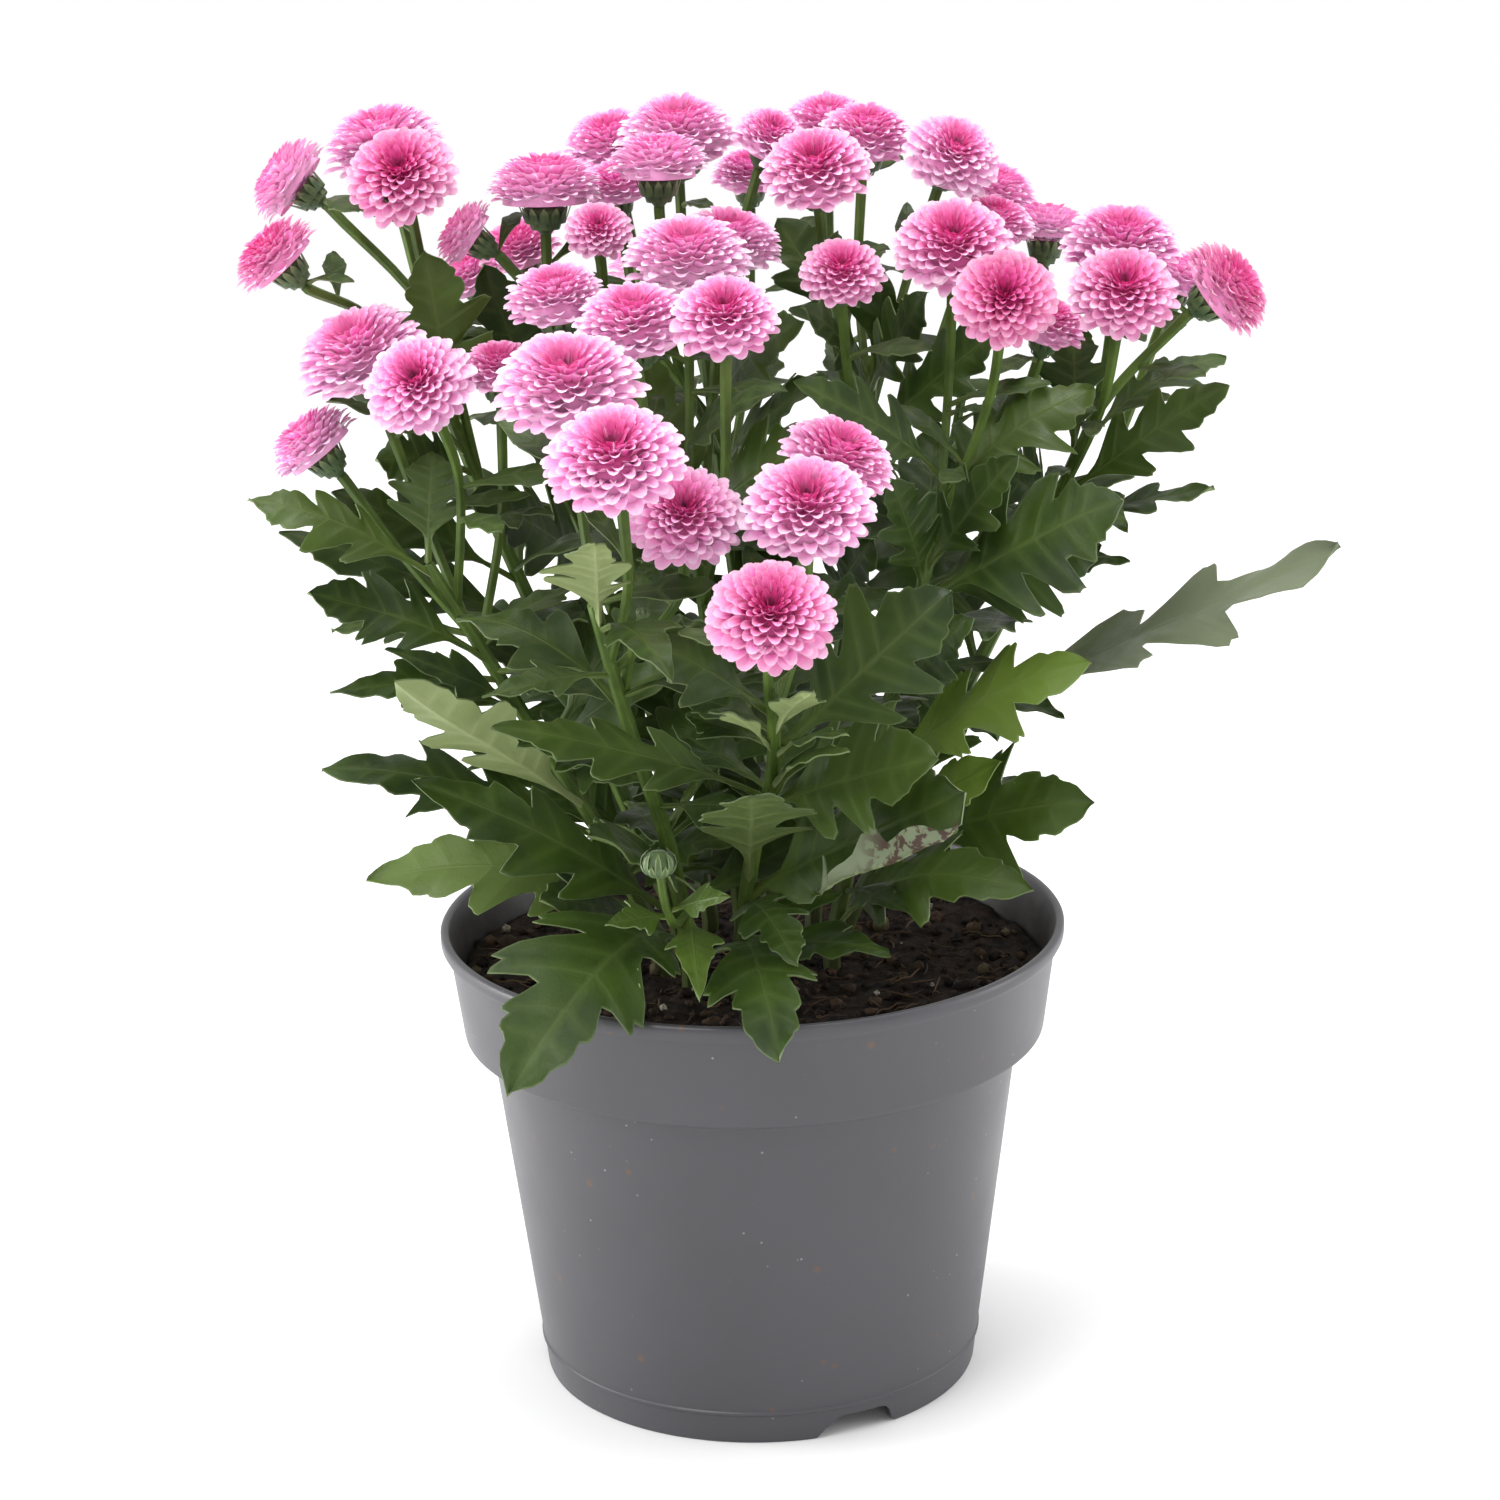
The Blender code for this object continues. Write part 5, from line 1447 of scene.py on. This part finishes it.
def small_leaves(name, path, stalks, obstacles, rng):
    # Small leaves on the blooms' stalks and on the stem, where they stand clear of the other pieces
    places = []
    for points, _ in stalks:
        if len(points) == BLOOM_STALK_POINTS:
            places += [(points, STALK_LEAF)] * STALK_LEAVES
    places += [(path, INNER_LEAF)] * INNER_LEAVES
    made = []
    for points, sizes in places:
        for attempt in range(SMALL_LEAF_TRIES):
            spot = point_at_share(points, rng.uniform(*SMALL_LEAF_PLACES))
            leaf = small_leaf(spot, sizes, attempt, rng)
            tree = blade_tree(leaf, ROOT_SHARE)
            if clear(tree, obstacles):
                obstacles.append((name, tree))
                made.append(leaf)
                break
    return made


def is_listed(leaf, number, paths):
    # Whether a placed leaf is the one of this number in the list
    shoot, height, tip = LEAVES[number][:3]
    root_shift = (point_at_height(paths[shoot], height) - leaf[0]).length
    return root_shift < LISTED_ROOT and (Vector(tip) - leaf[1]).length < LISTED_TIP


def leaf_look(leaf, paths, rng):
    # How fresh a leaf's green is, how pale with painted sheen, whether its margin is curled, and how much
    # painted shade darkens its underside
    tone = COMMON_TONE * rng.random()
    pale = 0.0
    # Unlisted leaves get painted shade on their undersides, listed ones none
    under = UNLISTED_UNDER_SHADE
    for number in range(len(LEAVES)):
        if is_listed(leaf, number, paths):
            tone = BRIGHT_LEAVES.get(number, tone)
            pale = SHEEN_PALE_LEAVES.get(number, pale)
            under = 0.0
    return tone, pale, is_listed(leaf, CURLED_LEAF, paths), under


def build_shoot(order, name, paths, stalks, leaves, obstacles, looks):
    # The leaves, the stems and the cups and buds of one shoot
    rng = np.random.default_rng(LEAF_SEED + order)
    blades, stems, cups = Batch(), Batch(), Batch()
    for leaf in leaves[name]:
        tone, pale, curled, under = leaf_look(leaf, paths, rng)
        add_leaf(blades, leaf, tone, rng, pale, curled, under)
    draws = random.Random(SMALL_LEAF_SEED + order)
    for leaf in small_leaves(name, paths[name], stalks[name], obstacles, draws):
        tone = SMALL_LEAF_TONE * rng.random()
        add_leaf(blades, leaf, tone, rng, under=UNLISTED_UNDER_SHADE, bract=leaf[2] < BRACT_WIDTH)

    start = paths[name][0]
    foot = [Vector((start.x, start.y, SOIL_TOP - STEM_SUNK))] + paths[name]
    path, radii = resample(foot, [STEM_RADIUS] + stem_radii(paths[name]), STEM_STEPS)
    add_tube(stems, path, radii, STEM_SIDES)
    for points, radii in stalks[name]:
        cup_at_end = radii[-1] > CUP_GROWTH * radii[0]
        last = len(points) - 1 if cup_at_end else len(points)
        slim = [radius * STALK_SLIM for radius in radii[:last]]
        path, slim = resample(points[:last], slim, STALK_STEPS)
        if cup_at_end:
            path = path + [path[-1] + (points[-1] - points[-2]) * STALK_SINK]
            slim = [*slim, slim[-1]]
        add_tube(stems, path, slim, STALK_SIDES)

    for bloom in BLOOMS:
        if bloom[0] == name:
            add_cup(cups, bloom)
    for shoot, _, points, radius in BUDS.values():
        if shoot == name:
            add_bud(cups, points[-1], BUD_SLIM * radius)
    finish_piece(blades.build("leaves_" + name, looks[0]), "greens", "shoot_" + name)
    finish_piece(stems.build("stems_" + name, looks[1]), "greens")
    finish_piece(cups.build("cups_" + name, looks[2]), "greens")


# Soil

def soil_height(x, y):
    # A gently uneven surface from a few crossed waves
    return (0.5 * np.sin(0.11 * x + 0.6) * np.cos(0.13 * y - 0.4) + 0.45 * np.sin(0.31 * x - 0.23 * y)
            + 0.35 * np.sin(0.67 * x + 0.52 * y + 1.3) * np.cos(0.59 * y - 0.2 * x))


def build_soil_bed():
    # The rough top of the soil, with a skirt that goes down inside the pot
    rng = np.random.default_rng(BED_SEED)
    climb = (SOIL_TOP - COLLAR_FOOT) / (RIM_BASE - COLLAR_FOOT)
    edge = COLLAR_FOOT_RADIUS - WALL - GAP + (COLLAR_TOP_RADIUS - COLLAR_FOOT_RADIUS) * climb
    skirt = [edge - inward for inward, _ in SOIL_SKIRT]
    radii = np.concatenate([np.linspace(SOIL_MIDDLE, edge, SOIL_RINGS), skirt])
    r, t = np.meshgrid(radii, full_turn(SOIL_SPOKES), indexing="ij")
    x, y = r * np.cos(t), r * np.sin(t)
    z = SOIL_TOP + soil_height(x, y) + rng.normal(0, SOIL_GRAIN, x.shape) - SOIL_EDGE_DROP * (r / edge) ** 6
    z[-2:] = SOIL_TOP - np.array([[drop] for _, drop in SOIL_SKIRT])
    points = np.stack([x, y, z], -1).reshape(-1, 3)
    quads = grid_quads(len(radii), SOIL_SPOKES, True)
    finish_piece(grid_mesh("soil_bed", points, quads, {}, soil_material()), "soil", "soil")


def lump(rng, size, flat=1.0):
    # One irregular grain as a small closed grid
    points = []
    for level in np.radians(GRAIN_LEVELS):
        for turn in full_turn(GRAIN_SIDES):
            reach = math.cos(level) * rng.uniform(*GRAIN_REACH)
            height = math.sin(level) * flat * rng.uniform(*GRAIN_HEIGHT)
            points.append((reach * math.cos(turn), reach * math.sin(turn), height))
    points = np.array(points) * size
    return swung(points[:, 0], points[:, 1], points[:, 2], -rng.uniform(0, 2 * math.pi))


def scatter_spot(rng, edge=SCATTER_EDGE):
    # A random place on the soil
    radius = edge * math.sqrt(rng.random())
    turn = rng.uniform(0, 2 * math.pi)
    x, y = radius * math.cos(turn), radius * math.sin(turn)
    return np.array((x, y, SOIL_TOP + soil_height(x, y)))


def build_scatter():
    # Crumbs, white grains and fibres on the soil
    rng = np.random.default_rng(SCATTER_SEED)
    grain_quads = grid_quads(len(GRAIN_LEVELS), GRAIN_SIDES, True)
    crumbs = Batch()
    for _ in range(CRUMBS):
        size = min(CRUMB_LARGEST, rng.lognormal(*CRUMB_SIZE))
        grain = lump(rng, size, rng.uniform(*CRUMB_FLAT))
        crumbs.add(grain + scatter_spot(rng) + (0, 0, CRUMB_LIFT * size), grain_quads, tone=rng.random())
    finish_piece(crumbs.build("soil_crumbs", crumb_material()), "soil")
    white = Batch()
    for _ in range(PERLITE):
        tone = rng.random()
        size = rng.uniform(*PERLITE_SIZE) + max(0.0, tone - STONE_FROM) * STONE_GROWTH
        white.add(lump(rng, size) + scatter_spot(rng) + (0, 0, PERLITE_LIFT * size), grain_quads, tone=tone)
    finish_piece(white.build("soil_perlite", perlite_material()), "soil")
    fibres = Batch()
    for _ in range(FIBRES):
        start = scatter_spot(rng, FIBRE_EDGE)
        turn = rng.uniform(0, 2 * math.pi)
        step = np.array((math.cos(turn), math.sin(turn), 0)) * rng.uniform(*FIBRE_LENGTH) / 4
        bend = np.array((-step[1], step[0], 0)) * rng.uniform(-FIBRE_BEND, FIBRE_BEND)
        spots = []
        for order in range(len(FIBRE_RADII)):
            lift = (0, 0, FIBRE_LIFT + rng.uniform(0, FIBRE_LOOSE))
            spots.append(start + step * order + bend * order * order / 3 + lift)
        corners = tube_points(spots, FIBRE_RADII, FIBRE_SIDES)
        fibres.add(corners, grid_quads(len(spots), FIBRE_SIDES, True), tone=rng.random())
    finish_piece(fibres.build("soil_fibres", fibre_material()), "soil")


# Pot

def around(radius, height, *offsets):
    # Corners of a section near one place, each by how far out and up it lies
    return [(radius + out, height + up) for out, up in offsets]


def pot_section():
    # The pot with its rolled rim, moulding lines and rounded edges: the outer side and foot, then the inside
    line_radius = FOOT_RADIUS + (STEP_RADIUS - FOOT_RADIUS) / STEP_FOOT * FOOT_LINE
    outer = around(RIM_RADIUS, RIM_TOP, (-1.75, -0.25), (-1.4, -0.03), (-0.8, 0), (-0.3, -0.2), (0, -0.7))
    outer += around(RIM_RADIUS, RIM_BASE, (-0.05, 0.5), (-0.35, 0))
    outer += around(COLLAR_TOP_RADIUS, RIM_BASE, (1.4, -0.35), (0.4, -0.6), (0, -1.3))
    outer += around(COLLAR_FOOT_RADIUS, COLLAR_FOOT, (0.15, 1.0), (0, 0.3), (-0.4, -0.1))
    outer += around(STEP_RADIUS, STEP_FOOT, (2.0, 1.6), (0.6, 0.9), (0.05, -0.4))
    outer += around(line_radius, FOOT_LINE, (0.05, 0.5), (0.32, 0.2), (0.30, -0.25), (-0.15, -0.6))
    outer += around(FOOT_RADIUS, 0, (0.05, 0.7), (-0.15, 0.15), (-0.6, 0))
    outer += around(FOOT_RADIUS - WALL, 0, (0.2, 0), (0, 0.3), (0, FLOOR_RISE))
    outer += around(PAD_RADIUS, FLOOR_RISE, (2.2, 0), (1.8, -0.4))
    outer += around(PAD_RADIUS, 0, (0.3, 0.3), (-0.3, 0))
    outer += [(POT_MIDDLE, 0)]
    inner = [(POT_MIDDLE, WALL), (PAD_RADIUS - 1, WALL), (PAD_RADIUS + 1, FLOOR_RISE + WALL)]
    inner += around(FOOT_RADIUS - WALL, FLOOR_RISE + WALL, (0.6, 0))
    inner += around(STEP_RADIUS - WALL, STEP_FOOT + WALL, (0, 0))
    inner += around(COLLAR_FOOT_RADIUS - WALL, COLLAR_FOOT + WALL, (0, 0))
    inner += around(COLLAR_TOP_RADIUS - WALL, RIM_BASE, (0.1, -1.0))
    inner += around(RIM_RADIUS, RIM_TOP, (-2.0, -0.8))
    return outer, inner


def build_pot():
    # The turned shell, closed where its inside meets the rim, with notches placed from the front round
    outer, inner = pot_section()
    section = outer + inner
    inside = np.repeat([0.0] * len(outer) + [1.0] * (len(inner) - 1) + [RIM_INSIDE], POT_STEPS)
    quads = grid_quads(len(section) + 1, POT_STEPS, True) % (len(section) * POT_STEPS)
    layers = {"inside": inside}
    pot = grid_mesh("pot_shell", turned(section, POT_STEPS), quads[:, ::-1], layers, pot_material())
    for angle in NOTCH_ANGLES:
        cut_notch(pot, math.radians(angle - FRONT_ANGLE))
    pot.data.set_sharp_from_angle(angle=math.radians(SHARP_ANGLE))
    finish_piece(pot, "pot", "pot")


def cut_notch(pot, turn):
    # A mouse-hole notch with one slanted and one rounded side
    half, tall = NOTCH_SIZE[1] / 2, NOTCH_SIZE[2]
    outline = around(-half, 0, (-1.0, -2), (0.5, 0), (2.4, 2.2)) + around(-half, tall, (4.6, -0.8), (6.0, 0))
    outline += around(half, tall, (-4.0, 0), (-2.6, -0.4), (-1.6, -1.6))
    outline += around(half, 0, (-0.8, 1.0), (0.6, 0), (1.5, -2))
    body = bmesh.new()
    near = [body.verts.new(Vector((FOOT_RADIUS - NOTCH_DEPTH, y, z)) * MM) for y, z in outline]
    far = [body.verts.new(Vector((FOOT_RADIUS + NOTCH_DEPTH, y, z)) * MM) for y, z in outline]
    body.faces.new(near)
    body.faces.new(far[::-1])
    for i in range(len(outline)):
        j = (i + 1) % len(outline)
        body.faces.new((near[i], far[i], far[j], near[j]))
    bmesh.ops.recalc_face_normals(body, faces=body.faces)
    mesh = bpy.data.meshes.new("notch")
    body.to_mesh(mesh)
    body.free()
    cutter = bpy.data.objects.new("notch", mesh)
    cutter.rotation_euler = (0, 0, turn)
    bpy.context.scene.collection.objects.link(cutter)
    bpy.context.view_layer.update()
    notch = pot.modifiers.new("notch", "BOOLEAN")
    notch.operation = "DIFFERENCE"
    notch.solver = "EXACT"
    notch.object = cutter
    graph = bpy.context.evaluated_depsgraph_get()
    shaped = bpy.data.meshes.new_from_object(pot.evaluated_get(graph))
    pot.modifiers.clear()
    pot.data = shaped
    bpy.data.objects.remove(cutter)


# Camera, floor and light

def build_camera():
    # The photograph's view: raised, looking down at the plant, and a little rolled
    rise = math.radians(CAMERA_RISE)
    roll = math.radians(CAMERA_ROLL)
    forward = Vector((0, math.cos(rise), -math.sin(rise)))
    right = Vector((1, 0, 0))
    up = right.cross(forward)
    right, up = right * math.cos(roll) + up * math.sin(roll), up * math.cos(roll) - right * math.sin(roll)
    place = (Vector(CAMERA_TARGET) - forward * CAMERA_DISTANCE) * MM
    camera = bpy.data.cameras.new("camera")
    camera.sensor_width = CAMERA_SENSOR
    camera.lens = CAMERA_LENS
    camera.clip_start = CAMERA_NEAR
    item = bpy.data.objects.new("camera", camera)
    item.matrix_world = Matrix((
        (right.x, up.x, -forward.x, place.x),
        (right.y, up.y, -forward.y, place.y),
        (right.z, up.z, -forward.z, place.z),
        (0, 0, 0, 1)))
    bpy.context.scene.collection.objects.link(item)
    bpy.context.scene.camera = item


def area_light(name, place, target, size, power):
    # A round soft light that faces its target
    light = bpy.data.lights.new(name, "AREA")
    light.shape = "DISK"
    light.size = size
    light.energy = power
    item = bpy.data.objects.new(name, light)
    item.location = place
    item.rotation_euler = (Vector(target) - Vector(place)).to_track_quat("-Z", "Y").to_euler()
    bpy.context.scene.collection.objects.link(item)


def build_studio():
    # A white surround that is dimmer in front, a pale floor and soft lights
    s = Shader("studio", bpy.data.worlds)
    bpy.context.scene.world = s.owner
    split = s.node("SeparateXYZ", Vector=s.node("TexCoord").outputs["Generated"])
    height = s.maths("MULTIPLY_ADD", split.outputs["Z"], SKY_LEAN, split.outputs["Y"])
    background = s.tree.nodes["Background"]
    s.link(s.spread(height, *SKY_SPAN, FRONT_GLOW, 1.0), background.inputs["Strength"])
    s.link("studio white", background.inputs["Color"])
    bpy.context.scene.view_settings.view_transform = "Standard"
    bpy.ops.mesh.primitive_plane_add(size=FLOOR_SIDE, location=(0, FLOOR_BACK - FLOOR_SIDE / 2, 0))
    floor = bpy.context.object
    floor.name = "floor"
    floor.data.materials.append(floor_material())
    for name, (place, target, size, power) in LIGHTS.items():
        area_light(name, place, target, size, power)


def main():
    build_camera()
    build_studio()
    paths, stalks, leaves, obstacles = grow()
    looks = (leaf_material(), stem_material(), cup_material())
    for order, name in enumerate(SHOOTS):
        build_shoot(order, name, paths, stalks, leaves, obstacles, looks)
    petals = petal_material()
    for number, bloom in enumerate(BLOOMS, 1):
        build_petals(number, bloom, petals)
    build_soil_bed()
    build_scatter()
    build_pot()


main()
